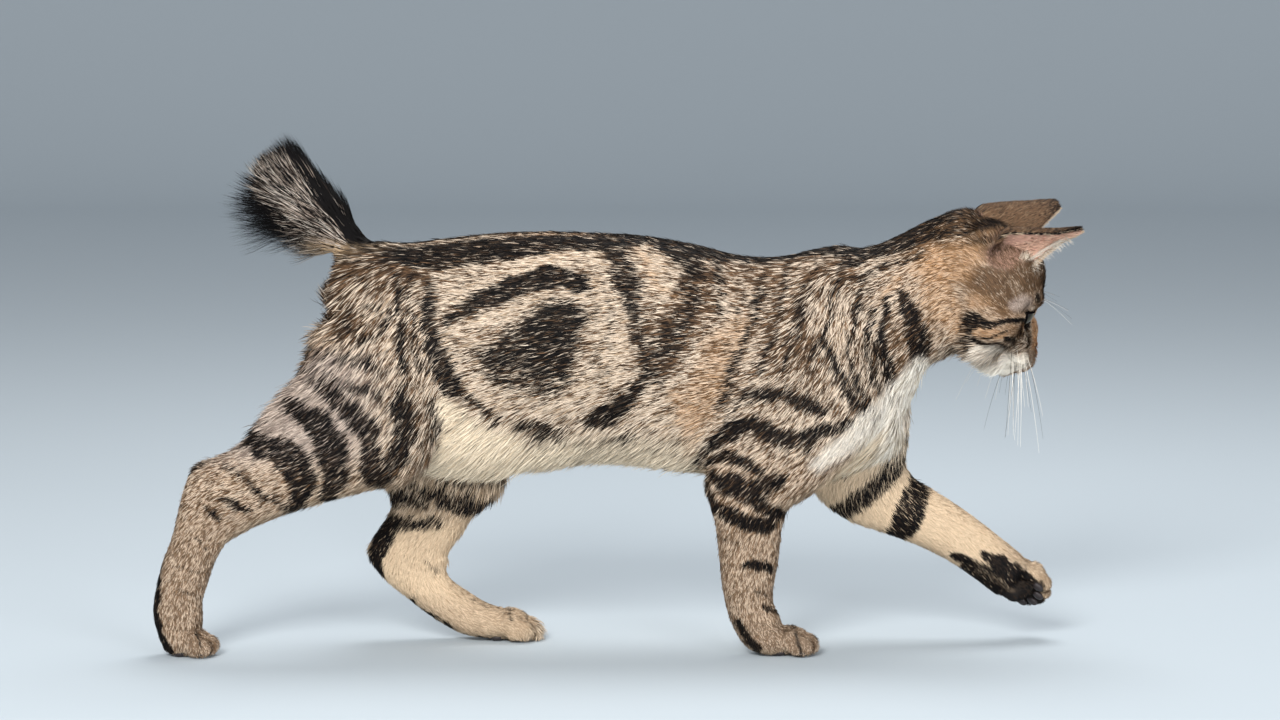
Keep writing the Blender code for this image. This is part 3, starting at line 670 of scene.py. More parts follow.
# ---------------------------------------------------------------- markings
class Noise:
    """Smooth noise through space, from a fixed lattice of random numbers."""

    def __init__(self, seed, n=24):
        self.n = n
        self.grid = np.random.RandomState(seed).rand(n, n, n)

    def __call__(self, p, size):
        q = p / size
        i = np.floor(q).astype(int)
        t = q - i
        t = t * t * (3 - 2 * t)
        out = 0
        for dx in (0, 1):
            for dy in (0, 1):
                for dz in (0, 1):
                    w = (t[:, 0] if dx else 1 - t[:, 0]) * (t[:, 1] if dy else 1 - t[:, 1]) * (t[:, 2] if dz else 1 - t[:, 2])
                    out = out + w * self.grid[(i[:, 0] + dx) % self.n, (i[:, 1] + dy) % self.n, (i[:, 2] + dz) % self.n]
        return out


NOISE_A, NOISE_B, NOISE_C = Noise(3), Noise(11), Noise(29)


def linear(rgb):
    c = np.array(rgb, float) / 255.0
    return np.where(c <= 0.04045, c / 12.92, ((c + 0.055) / 1.055) ** 2.4)


BLACK, DARK, UMBER = linear((12, 10, 10)), linear((46, 37, 31)), linear((104, 80, 60))
BEIGE, CREAM, GOLD = linear((184, 162, 137)), linear((226, 209, 188)), linear((186, 138, 90))
BELLY, PEACH, WHITE, GREY = linear((248, 231, 204)), linear((222, 190, 152)), linear((250, 242, 228)), linear((200, 182, 170))
PINK, LEATHER = linear((222, 172, 150)), linear((104, 66, 54))

# strokes of the body's side: darkness, then (u, v, width) along each
SIDE = [
    (0.98, [(408, 260, 18), (428, 258, 25), (477, 252, 30), (525, 246, 27), (574, 241, 22), (622, 239, 20), (659, 238, 18)], 4),
    (0.93, [(659, 243, 16), (700, 251, 17), (745, 256, 15), (785, 255, 13), (825, 250, 11), (860, 251, 12)], 6),
    (0.96, [(446, 322, 8), (462, 310, 15), (489, 297, 19), (525, 286, 20), (562, 276, 20), (578, 283, 24)], 5),
    (0.84, [(548, 330, 46), (562, 322, 46), (572, 316, 30)], 12),
    (0.82, [(492, 354, 24), (520, 346, 42), (548, 344, 58)], 14),
    (0.88, [(540, 362, 34), (558, 366, 30), (564, 380, 12)], 12),
    (0.62, [(476, 356, 12), (500, 372, 24), (530, 384, 22), (556, 390, 14)], 14),
    (0.82, [(394, 276, 6), (397, 292, 8), (399, 336, 8), (404, 372, 6)], 5),
    (0.90, [(431, 284, 8), (434, 297, 12), (426, 321, 14), (432, 346, 22), (442, 368, 32), (452, 386, 24)], 6),
    (0.86, [(450, 384, 8), (465, 393, 6), (484, 407, 6), (496, 418, 5)], 4),
    (0.60, [(412, 280, 6), (410, 310, 6), (412, 345, 5), (420, 372, 7)], 5),
    (0.88, [(518, 422, 6), (533, 425, 12), (550, 430, 13), (562, 428, 8)], 5),
    (0.93, [(582, 420, 8), (594, 417, 16), (613, 411, 20), (626, 400, 20), (638, 386, 12)], 6),
    (0.76, [(600, 437, 6), (634, 434, 9)], 5),
    (0.45, [(560, 448, 8), (590, 452, 8), (620, 446, 6)], 7),
    (0.30, [(640, 446, 7), (672, 440, 8), (690, 438, 7)], 8),
    (0.84, [(608, 246, 16), (618, 256, 24), (626, 276, 25), (632, 296, 22), (635, 314, 14)], 9),
    (0.72, [(634, 312, 9), (641, 338, 12), (645, 358, 13), (641, 384, 14)], 8),
    (0.86, [(676, 248, 24), (690, 262, 24), (700, 276, 16)], 8),
    (0.62, [(690, 285, 20), (690, 306, 24), (676, 330, 26), (662, 352, 24), (656, 376, 16)], 14),
    (0.60, [(716, 262, 12), (722, 290, 10), (717, 316, 8)], 7),
    (0.40, [(600, 268, 4), (606, 292, 4), (611, 330, 4), (610, 364, 4), (598, 390, 5)], 5),
    (0.35, [(590, 290, 4), (599, 326, 4), (600, 356, 4), (590, 386, 5)], 5),
    (0.84, [(765, 276, 5), (760, 295, 7), (750, 332, 8), (738, 364, 10), (728, 386, 11), (722, 406, 8)], 7),
    (0.60, [(744, 392, 5), (736, 412, 6), (722, 430, 6)], 7),
    (0.66, [(790, 268, 6), (782, 300, 6), (772, 340, 6), (760, 376, 7)], 6),
    (0.62, [(818, 264, 5), (806, 298, 6), (796, 336, 6), (784, 372, 6)], 6),
    (0.66, [(842, 268, 6), (834, 300, 6), (824, 330, 6), (812, 364, 5)], 6),
    (0.50, [(803, 282, 4), (797, 310, 5), (785, 350, 5)], 5),
    (0.50, [(745, 296, 4), (736, 330, 5), (726, 356, 5)], 6),
    (0.70, [(864, 276, 5), (860, 300, 6), (852, 330, 6), (846, 352, 5)], 5),
    (0.95, [(902, 292, 9), (908, 308, 16), (914, 328, 21), (917, 348, 19), (915, 366, 12)], 5),
    (0.92, [(887, 300, 7), (883, 324, 10), (881, 348, 12), (886, 374, 12), (893, 398, 9)], 5),
    (0.76, [(868, 312, 5), (866, 338, 7), (869, 364, 8), (874, 390, 7)], 5),
    (0.82, [(822, 342, 6), (832, 358, 8), (843, 384, 10), (855, 405, 11), (880, 418, 9)], 5),
    (0.74, [(848, 360, 5), (856, 380, 6), (866, 400, 7)], 5),
    (0.86, [(748, 395, 7), (768, 393, 12), (784, 395, 15), (806, 402, 15), (822, 413, 9)], 6),
    (0.97, [(700, 458, 12), (712, 444, 16), (729, 432, 18), (752, 424, 14), (766, 432, 18), (784, 442, 20), (804, 438, 18), (824, 430, 14), (850, 422, 9)], 4),
    (0.93, [(806, 440, 12), (812, 462, 12)], 4),
    (0.96, [(812, 249, 10), (850, 245, 13), (880, 241, 15), (905, 231, 15), (935, 220, 14), (965, 213, 11)], 5),
    (0.90, [(845, 262, 6), (875, 256, 11), (905, 246, 11), (935, 235, 10), (962, 226, 8), (990, 220, 6)], 5),
    (0.66, [(850, 280, 5), (880, 271, 7), (905, 262, 7), (925, 252, 6)], 5),
    (0.66, [(362, 304, 6), (378, 309, 8), (386, 318, 8), (380, 332, 8), (362, 340, 7)], 6),
    (0.66, [(312, 356, 7), (344, 359, 10), (368, 361, 11), (382, 372, 9)], 6),
    (0.66, [(308, 374, 6), (340, 381, 8), (366, 388, 9), (380, 396, 7)], 6),
    (0.55, [(338, 296, 6), (352, 316, 7), (346, 338, 6)], 7),
    (0.50, [(330, 322, 6), (352, 330, 6), (370, 352, 5)], 7),
    (0.45, [(340, 258, 8), (357, 262, 7), (372, 266, 8), (392, 264, 10), (410, 261, 12)], 9),
    (0.40, [(330, 276, 10), (352, 282, 10), (372, 290, 8)], 9),
    (0.90, [(345, 236, 16), (367, 243, 24), (395, 249, 28), (425, 254, 26)], 8),
]
# paler and browner stretches of the ground
LIGHT = [
    (0.9, [(440, 306, 8), (462, 294, 12), (500, 277, 12), (545, 262, 14), (590, 256, 14)], 7),
    (0.9, [(592, 262, 16), (603, 300, 34), (612, 340, 36), (604, 376, 32), (580, 396, 22), (545, 408, 14), (505, 398, 14)], 8),
    (0.9, [(452, 334, 14), (478, 326, 14), (510, 312, 12), (545, 298, 10)], 6),
    (0.8, [(446, 345, 10), (458, 368, 14), (474, 386, 16), (498, 402, 16), (520, 410, 14)], 7),
    (0.9, [(655, 250, 14), (662, 272, 20), (660, 298, 18)], 7),
    (0.6, [(385, 290, 6), (386, 320, 6), (388, 360, 8)], 5),
    (0.6, [(418, 300, 6), (414, 330, 8), (424, 360, 7)], 5),
    (0.7, [(560, 412, 14), (600, 430, 14), (650, 420, 30), (690, 430, 30), (706, 450, 10)], 12),
    (0.7, [(760, 412, 8), (790, 418, 10), (815, 424, 6)], 5),
    (0.9, [(672, 424, 26), (690, 444, 26)], 12),
    (0.6, [(862, 395, 10), (850, 372, 8), (835, 340, 8), (845, 310, 6)], 6),
    (0.7, [(300, 392, 10), (330, 402, 8), (352, 424, 9), (352, 450, 10)], 6),
    (0.6, [(340, 372, 6), (366, 375, 6)], 5), (0.6, [(330, 347, 8), (360, 350, 8)], 6),
    (0.7, [(386, 410, 6), (384, 440, 8), (378, 460, 6)], 5),
    (0.7, [(270, 470, 6), (268, 458, 8)], 5), (0.6, [(308, 440, 8), (316, 460, 9), (318, 490, 8)], 6),
]
BROWN = [
    (0.8, [(640, 330, 20), (660, 345, 60), (690, 310, 50), (705, 280, 30)], 20),
    (1.0, [(326, 258, 16), (346, 268, 34), (380, 276, 38), (420, 278, 16)], 14),
    (0.6, [(740, 280, 40), (790, 275, 40), (850, 275, 30)], 25),
    (0.6, [(780, 330, 60), (800, 380, 50)], 25),
    (0.7, [(905, 330, 24), (900, 380, 20)], 12),
    (0.9, [(334, 296, 30), (350, 326, 34)], 18),
    (1.0, [(976, 280, 24), (992, 290, 30), (1003, 306, 20)], 9),
    (0.8, [(1018, 262, 22), (1030, 282, 18)], 9),
    (1.0, [(915, 238, 34), (950, 232, 40), (985, 228, 36), (1010, 230, 20)], 12),
    (0.6, [(1040, 275, 10), (1041, 300, 8)], 6),
    (0.7, [(1010, 328, 12), (1018, 340, 12)], 5),
]
FAWN = [
    (0.66, [(742, 330, 30), (726, 352, 46), (712, 380, 50), (700, 408, 40)], 24),
    (0.6, [(676, 395, 14), (688, 420, 16), (690, 445, 16)], 14),
    (0.7, [(445, 268, 6), (500, 240, 4), (560, 234, 4), (640, 232, 4)], 4),
    (0.6, [(640, 250, 6), (660, 290, 6), (676, 300, 6)], 8),
    (1.0, [(940, 264, 40), (962, 262, 44), (978, 254, 30)], 12),
    (0.9, [(975, 300, 20), (988, 300, 16)], 10),
    (0.8, [(925, 270, 30), (940, 300, 40), (955, 325, 30)], 18),
    (0.7, [(900, 280, 12), (880, 300, 8)], 12),
    (1.0, [(980, 331, 12), (1002, 334, 9)], 4),
    (1.0, [(1033, 322, 5), (1035, 336, 6), (1034, 350, 6)], 3),
    (0.6, [(330, 350, 20), (300, 370, 20)], 20),
]
HIND_NEAR_MARKS = [
    (0.92, [(320, 386, 9), (330, 394, 19), (350, 410, 25), (366, 430, 24), (372, 452, 19), (366, 474, 12)], 6),
    (0.95, [(292, 404, 11), (301, 411, 24), (320, 426, 31), (333, 450, 32), (336, 474, 29), (330, 496, 18)], 5),
    (0.95, [(246, 440, 9), (256, 443, 20), (279, 450, 30), (297, 465, 33), (303, 482, 30), (298, 502, 17)], 5),
    (0.90, [(404, 388, 9), (402, 404, 21), (405, 430, 25), (396, 458, 22), (376, 478, 12)], 6),
    (0.72, [(430, 402, 5), (434, 420, 7), (430, 440, 5)]),
    (0.80, [(236, 436, 6), (225, 446, 9), (214, 456, 8)]),
    (0.75, [(222, 496, 8), (236, 506, 10), (246, 510, 8)]), (0.70, [(206, 508, 6), (216, 516, 8)]),
    (0.60, [(256, 488, 8), (276, 500, 9), (292, 510, 8)]), (0.80, [(366, 470, 10), (380, 478, 12), (392, 474, 8)]),
    (0.60, [(228, 470, 6), (246, 480, 8), (262, 494, 7)]),
    (0.75, [(190, 470, 10), (204, 458, 10), (222, 452, 7)]),
    (0.62, [(236, 500, 5), (241, 508, 6)]), (0.60, [(211, 514, 5), (218, 519, 6)]), (0.5, [(196, 538, 5), (204, 545, 5)]),
    (0.94, [(172, 520, 6), (163, 545, 9), (157, 575, 11), (154, 606, 11), (160, 636, 10), (170, 650, 8)]),
    (0.45, [(180, 592, 4), (196, 596, 4)]), (0.45, [(176, 566, 4), (198, 572, 4)]),
    (0.7, [(196, 636, 3), (200, 648, 3)]),
]
FORE_NEAR_MARKS = [
    (0.95, [(712, 462, 10), (730, 459, 12), (748, 464, 12), (762, 472, 7)]),
    (0.97, [(716, 476, 10), (728, 482, 18), (746, 490, 22), (762, 487, 20), (778, 478, 14)]),
    (0.96, [(716, 506, 9), (730, 512, 16), (748, 524, 20), (762, 528, 16), (770, 520, 10)]),
    (0.92, [(756, 496, 10), (766, 506, 16), (780, 514, 14)]),
    (0.80, [(706, 470, 6), (710, 490, 6), (718, 504, 6)]),
    (0.88, [(746, 566, 10), (758, 567, 14), (770, 567, 8)]),
    (0.45, [(716, 536, 4), (735, 544, 4)]), (0.5, [(752, 590, 4), (764, 596, 5)]), (0.62, [(764, 610, 6), (778, 614, 7)]),
    (0.86, [(738, 622, 8), (745, 634, 10), (758, 650, 9)]),
    (0.75, [(798, 636, 3.5), (801, 652, 3.5)]), (0.7, [(811, 628, 3.5), (815, 640, 3.5)]), (0.6, [(785, 622, 4), (796, 628, 4)]),
]
HIND_FAR_MARKS = [
    (0.88, [(380, 506, 14), (396, 498, 20), (414, 500, 16), (426, 508, 9)], 8),
    (0.75, [(398, 522, 12), (412, 526, 13), (436, 524, 10)], 8),
    (0.90, [(430, 492, 12), (448, 498, 20), (468, 503, 22), (486, 502, 16)], 6),
    (0.70, [(440, 480, 8), (470, 482, 9), (500, 478, 8)]),
    (0.80, [(392, 478, 9), (412, 484, 9), (430, 492, 7)]),
    (0.90, [(392, 522, 14), (384, 540, 20), (377, 558, 17), (382, 574, 10)], 6),
    (0.86, [(388, 583, 4), (404, 597, 6), (430, 617, 6), (456, 634, 6), (480, 640, 5)]),
    (0.4, [(428, 560, 4), (440, 572, 4)]), (0.4, [(470, 600, 3), (486, 606, 3)]),
    (0.55, [(508, 606, 3), (512, 622, 3)]), (0.5, [(524, 610, 3), (528, 624, 3)]),
]
FORE_FAR_MARKS = [
    (0.92, [(902, 440, 12), (898, 455, 17), (884, 480, 18), (863, 498, 17), (838, 513, 12)]),
    (0.97, [(916, 476, 14), (917, 495, 26), (908, 518, 26), (893, 538, 18)]),
    (0.60, [(872, 436, 6), (858, 458, 7), (838, 478, 7)]),
    (0.85, [(955, 556, 8), (963, 561, 10), (972, 568, 7)]),
    (0.90, [(951, 556, 5), (961, 561, 6)], 4),
    (0.97, [(962, 567, 7), (980, 583, 11), (1000, 597, 18), (1020, 606, 22), (1036, 604, 18)], 4),
    (0.95, [(984, 556, 7), (998, 563, 15), (1014, 575, 22), (1030, 588, 24)], 4),
    (0.74, [(968, 564, 12), (990, 578, 22), (1006, 590, 26)], 7),
    (0.85, [(1010, 600, 20), (1026, 600, 22)], 6),
    (0.7, [(1000, 566, 4), (1022, 574, 4), (1038, 586, 4)], 2),
]
HEAD_MARKS = [
    (1.0, [(1027, 318.5, 3.0), (1018, 320.5, 4.6), (1010, 320, 5.2), (1000, 321.5, 5.4), (989, 325, 7.2), (980, 322.5, 10), (972, 318.5, 13)], 1.8),
    (1.0, [(972, 318, 14), (967.5, 329, 15), (965, 340, 13), (963, 351, 9)], 2.4),
    (1.0, [(1017, 349, 4), (1009, 349.5, 6), (1003, 345, 6), (995, 343.5, 6), (986, 344, 6.4), (977, 341, 7), (970, 336, 7)], 1.8),
    (0.75, [(980, 336, 2.2), (990, 336.5, 2.6), (998, 333, 2.4), (1006, 331, 2.2)], 1.4),
    (0.80, [(1004, 338, 5), (1011, 340, 8), (1014, 345, 6)], 3),
    (0.60, [(1020, 327, 2.2), (1019, 335, 2.8), (1020, 343, 2.4)], 1.8),
    (0.70, [(1027, 328, 1.6), (1027, 338, 1.8), (1027, 350, 1.4)], 1.2),
    (0.70, [(1036, 294, 5), (1036.5, 300, 5)], 3.5),
    (0.96, [(930, 224, 14), (960, 216, 16), (985, 212, 14), (1008, 209, 9)], 4),
    (0.92, [(925, 241, 11), (950, 233, 13), (975, 227, 12), (1000, 224, 8)], 4),
    (0.55, [(962, 246, 5), (985, 238, 6), (1002, 234, 5)], 5),
    (0.60, [(1041, 278, 4), (1043, 296, 4)], 3),
]
CROWN = [(-4, 2.6), (4, 2.6), (-13, 2.4), (13, 2.4)]     # stripes between the ears: place across, half-width, mm


def stroke_field(u, v, marks):
    """How strongly the strokes cover each place, from 0 to 1. A stroke's last number, if given, is the softness of its edge."""
    clear = np.ones(len(u))
    for share, points, *soft in marks:
        soft = soft[0] if soft else 3.5
        pts = np.array(points, float)
        reach = pts[:, 2].max() / 2 + soft
        low, high = pts[:, :2].min(axis=0) - reach, pts[:, :2].max(axis=0) + reach
        near_it = np.nonzero((u > low[0]) & (u < high[0]) & (v > low[1]) & (v < high[1]))[0]
        if not len(near_it):
            continue
        uu, vv = u[near_it], v[near_it]
        far = np.full(len(near_it), 1e9)
        for a, b in zip(pts[:-1], pts[1:]):
            d = b[:2] - a[:2]
            t = np.clip(((uu - a[0]) * d[0] + (vv - a[1]) * d[1]) / max(d @ d, 1e-9), 0, 1)
            gap = np.hypot(uu - a[0] - d[0] * t, vv - a[1] - d[1] * t) - (a[2] + (b[2] - a[2]) * t) / 2
            far = np.minimum(far, gap)
        clear[near_it] *= 1 - share * (1 - step(far, -0.55 * soft, 0.6 * soft))
    return 1 - clear


def markings(co, normals, weight, along):
    """Per point: cover of the black marks, tone of the ground, and how fawn, pale, white, grey or ringed it is."""
    side = co.copy()
    side[:, 1] = -np.abs(side[:, 1])
    wander = np.stack([NOISE_A(co, 0.011), NOISE_B(co, 0.011)], 1) - 0.5
    ripple = np.stack([NOISE_B(co, 0.0045), NOISE_C(co, 0.0045)], 1) - 0.5
    other = step(co[:, 1], 0.0, 0.02)
    shift = np.stack([NOISE_C(co, 0.06), NOISE_A(co, 0.06)], 1) - 0.5
    mottle = NOISE_C(co, 0.006) - 0.5
    su, sv = elevation(side)
    au, av = elevation(co)
    w = dict(zip(LIMB_NAMES + ["head"], weight.T))
    on_head = np.clip(w["head"] * 1.3, 0, 1)
    du = (wander * 8 + ripple * 5) * (1 - 0.85 * on_head)[:, None] + shift * (22 * other * (1 - on_head))[:, None]
    hu, hv = su + ripple[:, 0] * 1.2, sv + ripple[:, 1] * 1.2
    su, sv = su + du[:, 0], sv + du[:, 1]
    bu, bv = au + wander[:, 0] * 7 + ripple[:, 0] * 4, av + wander[:, 1] * 7 + ripple[:, 1] * 4
    near_side = 1 - step(co[:, 1], -0.004, 0.006)
    body = stroke_field(su, sv, SIDE)
    # each leg is marked where its own bands are; they thin out on its inner side
    hind_r, hind_l = stroke_field(bu, bv, HIND_NEAR_MARKS), stroke_field(bu, bv, HIND_FAR_MARKS)
    fore_r, fore_l = stroke_field(bu, bv, FORE_NEAR_MARKS), stroke_field(bu, bv, FORE_FAR_MARKS)
    leg_r, leg_l = w["hind_right"] + w["fore_right"], w["hind_left"] + w["fore_left"]
    low = step(av, 395, 440)
    lowleg = step(av, 440, 480)
    dark = body * np.clip(1 - on_head - (leg_r + leg_l) * step(av, 430, 470), 0, 1)
    dark = np.maximum(dark, hind_r * np.clip(w["hind_right"] * 1.8, 0, 1) * (1 - 0.5 * step(normals[:, 1], 0.2, 0.7)))
    dark = np.maximum(dark, fore_r * np.clip(w["fore_right"] * 1.6, 0, 1) * (1 - 0.4 * step(normals[:, 1], 0.2, 0.7)))
    dark = np.maximum(dark, hind_l * np.clip(w["hind_left"] * 1.6, 0, 1) * low)
    dark = np.maximum(dark, fore_l * np.clip(w["fore_left"] * 1.6, 0, 1) * low)
    # the haunch of the far side is marked like the near one
    mirror = stroke_field(su + 8, sv - 4, HIND_NEAR_MARKS[:2] + HIND_NEAR_MARKS[3:4])
    dark = np.maximum(dark, mirror * w["hind_left"] * (1 - low) * (co[:, 1] > 0.03))
    # along the spine: a thin black line, a ticked one, then the dark bands
    across = np.abs(co[:, 1])
    top = step(normals[:, 2], 0.5, 0.8) * (w["trunk"] + w["neck"])
    dark = np.maximum(dark, 0.94 * np.exp(-(across / 0.0045) ** 2) * top)
    ticked = step(across, 0.004, 0.006) * (1 - step(across, 0.009, 0.013)) * step(normals[:, 2], 0.6, 0.85) * w["trunk"] * step(640 - su, 0, 60)
    dark *= 1 - 0.75 * ticked
    # head
    f, l, u = local(co)
    face = stroke_field(hu, hv, HEAD_MARKS)
    crown = np.zeros(len(co))
    lw = l + (NOISE_A(co, 0.012) - 0.5) * 3
    for place, half in CROWN:
        fan = 1 + 0.55 * step(-f, 0, 45)
        crown = np.maximum(crown, 1 - step(np.abs(lw - place * fan) - half, -0.8, 1.4))
    crown *= step(u, 2, 12) * (1 - step(f, 16, 24))
    dark = dark * (1 - on_head) + np.maximum(0.85 * crown, dark * step(-f, 10, 34)) * on_head
    on_cheek = np.clip((w["head"] + w["neck"]) * 1.4, 0, 1) * step(f, -30, -22)
    dark = np.maximum(dark, face * np.maximum(on_cheek, on_head))
    # ground
    pale = np.zeros(len(co))
    flank = step(su, 430, 442) * (1 - step(su, 528, 552)) * step(sv, 393 + 0.42 * (su - 442), 408 + 0.42 * (su - 442))
    pale = np.maximum(pale, flank * (w["trunk"] + w["hind_right"] + w["hind_left"]))
    under = step(-normals[:, 2], 0.30, 0.75) * step(av, 400, 440)
    pale = np.maximum(pale, under * (w["trunk"] * (1 - 0.15 * step(su, 545, 590)) + 0.30 * leg_r + 0.7 * leg_l))
    belly = 0.75 * step(sv, 448, 466) * step(su, 430, 470) * (1 - step(su, 700, 730)) * (1 - 0.35 * step(su, 540, 580))
    pale = np.maximum(pale, belly * w["trunk"])
    breast = stroke_field(au, av, [(0.95, [(876, 438, 34), (856, 462, 42), (830, 486, 36)], 12)]) * step(normals[:, 0] - 0.4 * normals[:, 2], -0.35, 0.05) * step(co[:, 1], -0.046, -0.034)
    pale = np.maximum(pale, breast)
    inner_r = step(normals[:, 1], 0.0, 0.5) * leg_r
    inner_l = step(-normals[:, 1], -0.5, 0.3) * leg_l
    pale = np.maximum(pale, np.maximum(inner_r * 0.85, inner_l) * lowleg)
    pale = np.maximum(pale, 0.9 * w["fore_left"] * step(au, 790, 830))
    pale *= 1 - 0.40 * w["hind_left"] * step(av, 585, 615)
    pale *= 1 - 0.55 * w["hind_left"] * (1 - step(av, 508, 536)) * step(av, 450, 468)
    pale *= 1 - 0.45 * w["fore_left"] * step(au, 985, 1020)
    white = stroke_field(hu + ripple[:, 0] * 4, hv, [(0.95, [(918, 366, 22), (908, 390, 34), (882, 412, 30), (848, 440, 20), (818, 464, 13)], 10)])
    white = white * (w["trunk"] + w["neck"] + w["fore_right"] * 0.7 + w["fore_left"] * 0.8) * step(normals[:, 0] - 0.4 * normals[:, 1] - 0.4 * normals[:, 2], -0.1, 0.3)
    front_chest = step(normals[:, 0], 0.35, 0.75) * step(av, 372, 392) * (1 - step(av, 500, 530)) * (1 - step(np.abs(co[:, 1]), 0.034, 0.046))
    white = np.maximum(white, 0.9 * front_chest * (w["trunk"] + w["neck"]))
    chin = stroke_field(hu, hv, [(1.0, [(1020, 367, 12), (1006, 364, 28), (991, 359, 32), (980, 357, 27)], 3), (0.85, [(1022, 357, 10), (1024, 364, 8)], 3)])
    below = step(-u, 40, 46) * step(f, -2, 16)
    white = np.maximum(white, np.clip(np.maximum(chin * np.maximum(on_cheek, on_head), below * on_head), 0, 1))
    throat = stroke_field(hu, hv, [(0.9, [(958, 360, 10), (948, 362, 12), (930, 364, 12)], 6)])
    white = np.maximum(white, 0.85 * throat * (w["neck"] + w["head"]))
    eyering = np.zeros(len(co))
    for side_sign in (1, -1):
        c, look, out, up = eye_frame(side_sign)
        q = (co - c) * 1000
        a, b = q @ out, q @ up
        t = a / EYE_LONG
        beyond = np.maximum(np.maximum(b - lid_height(t, True), -b - lid_height(t, False)), np.abs(a) - EYE_LONG)
        close = step(q @ look, 0, 4) * step(20 - np.linalg.norm(q, axis=1), 0, 4)
        eyering = np.maximum(eyering, (1 - step(np.abs(beyond - 4.2), 0.8, 2.6)) * close * (b > 0))
        dark = np.maximum(dark, 0.97 * (1 - step(beyond, 1.5, 2.4)) * close)
    fawn = stroke_field(su * (1 - on_head) + hu * on_head, sv * (1 - on_head) + hv * on_head, FAWN)
    warm = 0.18 + 0.35 * w["neck"] * step(su, 870, 925) + 0.2 * lowleg * (leg_r + leg_l)
    warm = np.maximum(warm, fawn)
    warm = np.maximum(warm, 0.55 * on_head)
    bridge = (1 - step(np.abs(l), 4.5, 7.5)) * step(f, 26, 33) * step(u, -17, -13)
    bridge = np.maximum(bridge, stroke_field(hu, hv, [(1.0, [(1033, 323, 6), (1035, 336, 9), (1034, 348, 8)], 3)]) * on_head)
    muzzle = np.exp(-((f - 42) / 10) ** 2 - ((np.abs(l) - 9) / 6) ** 2 - ((u + 25) / 8) ** 2)
    rows = np.zeros(len(co))
    for row in range(4):
        rows = np.maximum(rows, np.exp(-((u + 19.5 + 2.8 * row + 0.12 * (42 - f)) / 0.55) ** 2) * (0.5 + 0.5 * np.cos((f + 1.6 * row) * 2 * math.pi / 4.2)))
    white = np.maximum(white, 0.66 * step(muzzle, 0.25, 0.6) * w["head"])
    warm = np.maximum(warm, 1.0 * bridge * w["head"])
    light = stroke_field(su, sv, LIGHT) * (1 - on_head)
    brown = stroke_field(su * (1 - on_head) + hu * on_head, sv * (1 - on_head) + hv * on_head, BROWN)
    dark = np.maximum(dark, 0.55 * rows * step(muzzle, 0.3, 0.6) * on_head)
    grey = np.maximum(w["head"] * stroke_field(hu, hv, [(0.95, [(1014, 305, 12), (1024, 301, 13)], 7)]),
                      0.72 * step(-su, -400, -330) * step(sv, 340, 370) * (w["hind_right"] + w["hind_left"]) * (1 - lowleg))
    tone = 0.50 - 0.28 * light + 0.36 * brown - 0.12 * fawn + 0.34 * mottle * (1 - 0.6 * on_head)
    tone += 0.10 * (leg_r + leg_l) * step(av, 480, 520) + 0.06 * w["head"]
    tone -= 0.25 * (leg_r + leg_l) * lowleg * mottle * 2
    temple = on_head * stroke_field(hu, hv, [(1.0, [(986, 276, 30), (1006, 286, 38), (1028, 272, 30)], 12)])
    tone += 0.26 * temple
    warm = warm * (1 - 0.5 * temple)
    tone -= 0.30 * on_head * stroke_field(hu, hv, [(1.0, [(1033, 322, 6), (1035, 336, 8), (1034, 350, 7)], 3)])
    # hairs of one colour lie in short streaks along the coat
    lengthwise = NOISE_A(co * np.array([0.32, 1.0, 1.0]), 0.00095)
    upright = NOISE_B(co * np.array([0.9, 1.0, 0.36]), 0.00085)
    legs = np.clip((leg_r + leg_l) * step(av, 400, 450), 0, 1)
    streak = np.clip(0.5 + ((lengthwise * (1 - legs) + upright * legs) - 0.5) * 1.35 * (1 - 0.6 * on_head), 0, 1)
    # painted shade: dark clefts between the toes, where the coat is darker and less pale
    for tip, y, floor, tilt, size in PAWS:
        base, fwd, lat, up = paw_frame(tip, y, floor, tilt)
        q = (co - base) * 1000.0 / size
        ahead, aside, high = q @ fwd, q @ lat, q @ up
        inside = step(ahead, -25, -18) * (1 - step(ahead, 4, 8)) * step(17 - np.abs(aside), 0, 3) * step(high, 1, 5) * (1 - step(high, 21, 26))
        for place in (-7.2, 0.0, 7.2):
            cleft_shade = np.exp(-((aside - place) / 1.1) ** 2) * inside
            tone = tone + 0.5 * cleft_shade
            dark = np.maximum(dark, 0.62 * cleft_shade)
            pale, white = pale * (1 - 0.8 * cleft_shade), white * (1 - 0.8 * cleft_shade)
    quiet = np.clip(pale * (1 - lowleg * (leg_r + leg_l)), 0, 1)
    return {"dark": np.clip(dark * (1 - 0.93 * quiet) * (1 - 0.92 * np.clip(white, 0, 1)), 0, 1),
            "pale": np.clip(pale, 0, 1), "white": np.clip(white, 0, 1), "warm": np.clip(warm, 0, 1), "grey": np.clip(grey, 0, 1),
            "ring": eyering * w["head"], "tone": np.clip(tone, 0.03, 0.92), "tail": w["tail"], "bridge": bridge * w["head"],
            "streak": streak, "headed": on_head, "leg": np.clip(leg_r + leg_l, 0, 1) * lowleg,
            "face": np.maximum(on_head * step(f, -8, 16), 0.8 * (leg_r + leg_l) * step(av, 500, 540))}


def mix(a, b, t):
    t = t[:, None]
    return a * (1 - t) + b * t


def ground_mean(m):
    """The coat's colour as seen from afar, for the skin under it."""
    n = len(m["dark"])
    c = mix(np.tile(CREAM * 0.5 + BEIGE * 0.5, (n, 1)), np.tile(UMBER * 0.6 + DARK * 0.4, (n, 1)), m["tone"])
    c = mix(c, GOLD * 0.85, m["warm"] * 0.55)
    c = mix(c, PEACH * 0.85, m["pale"])
    c = mix(c, WHITE * 0.85, m["white"])
    c = mix(c, GREY, m["grey"] * 0.8)
    c = mix(c, BEIGE, m["ring"] * 0.7)
    return mix(c, BLACK * 0.8 + DARK * 0.2, m["dark"])


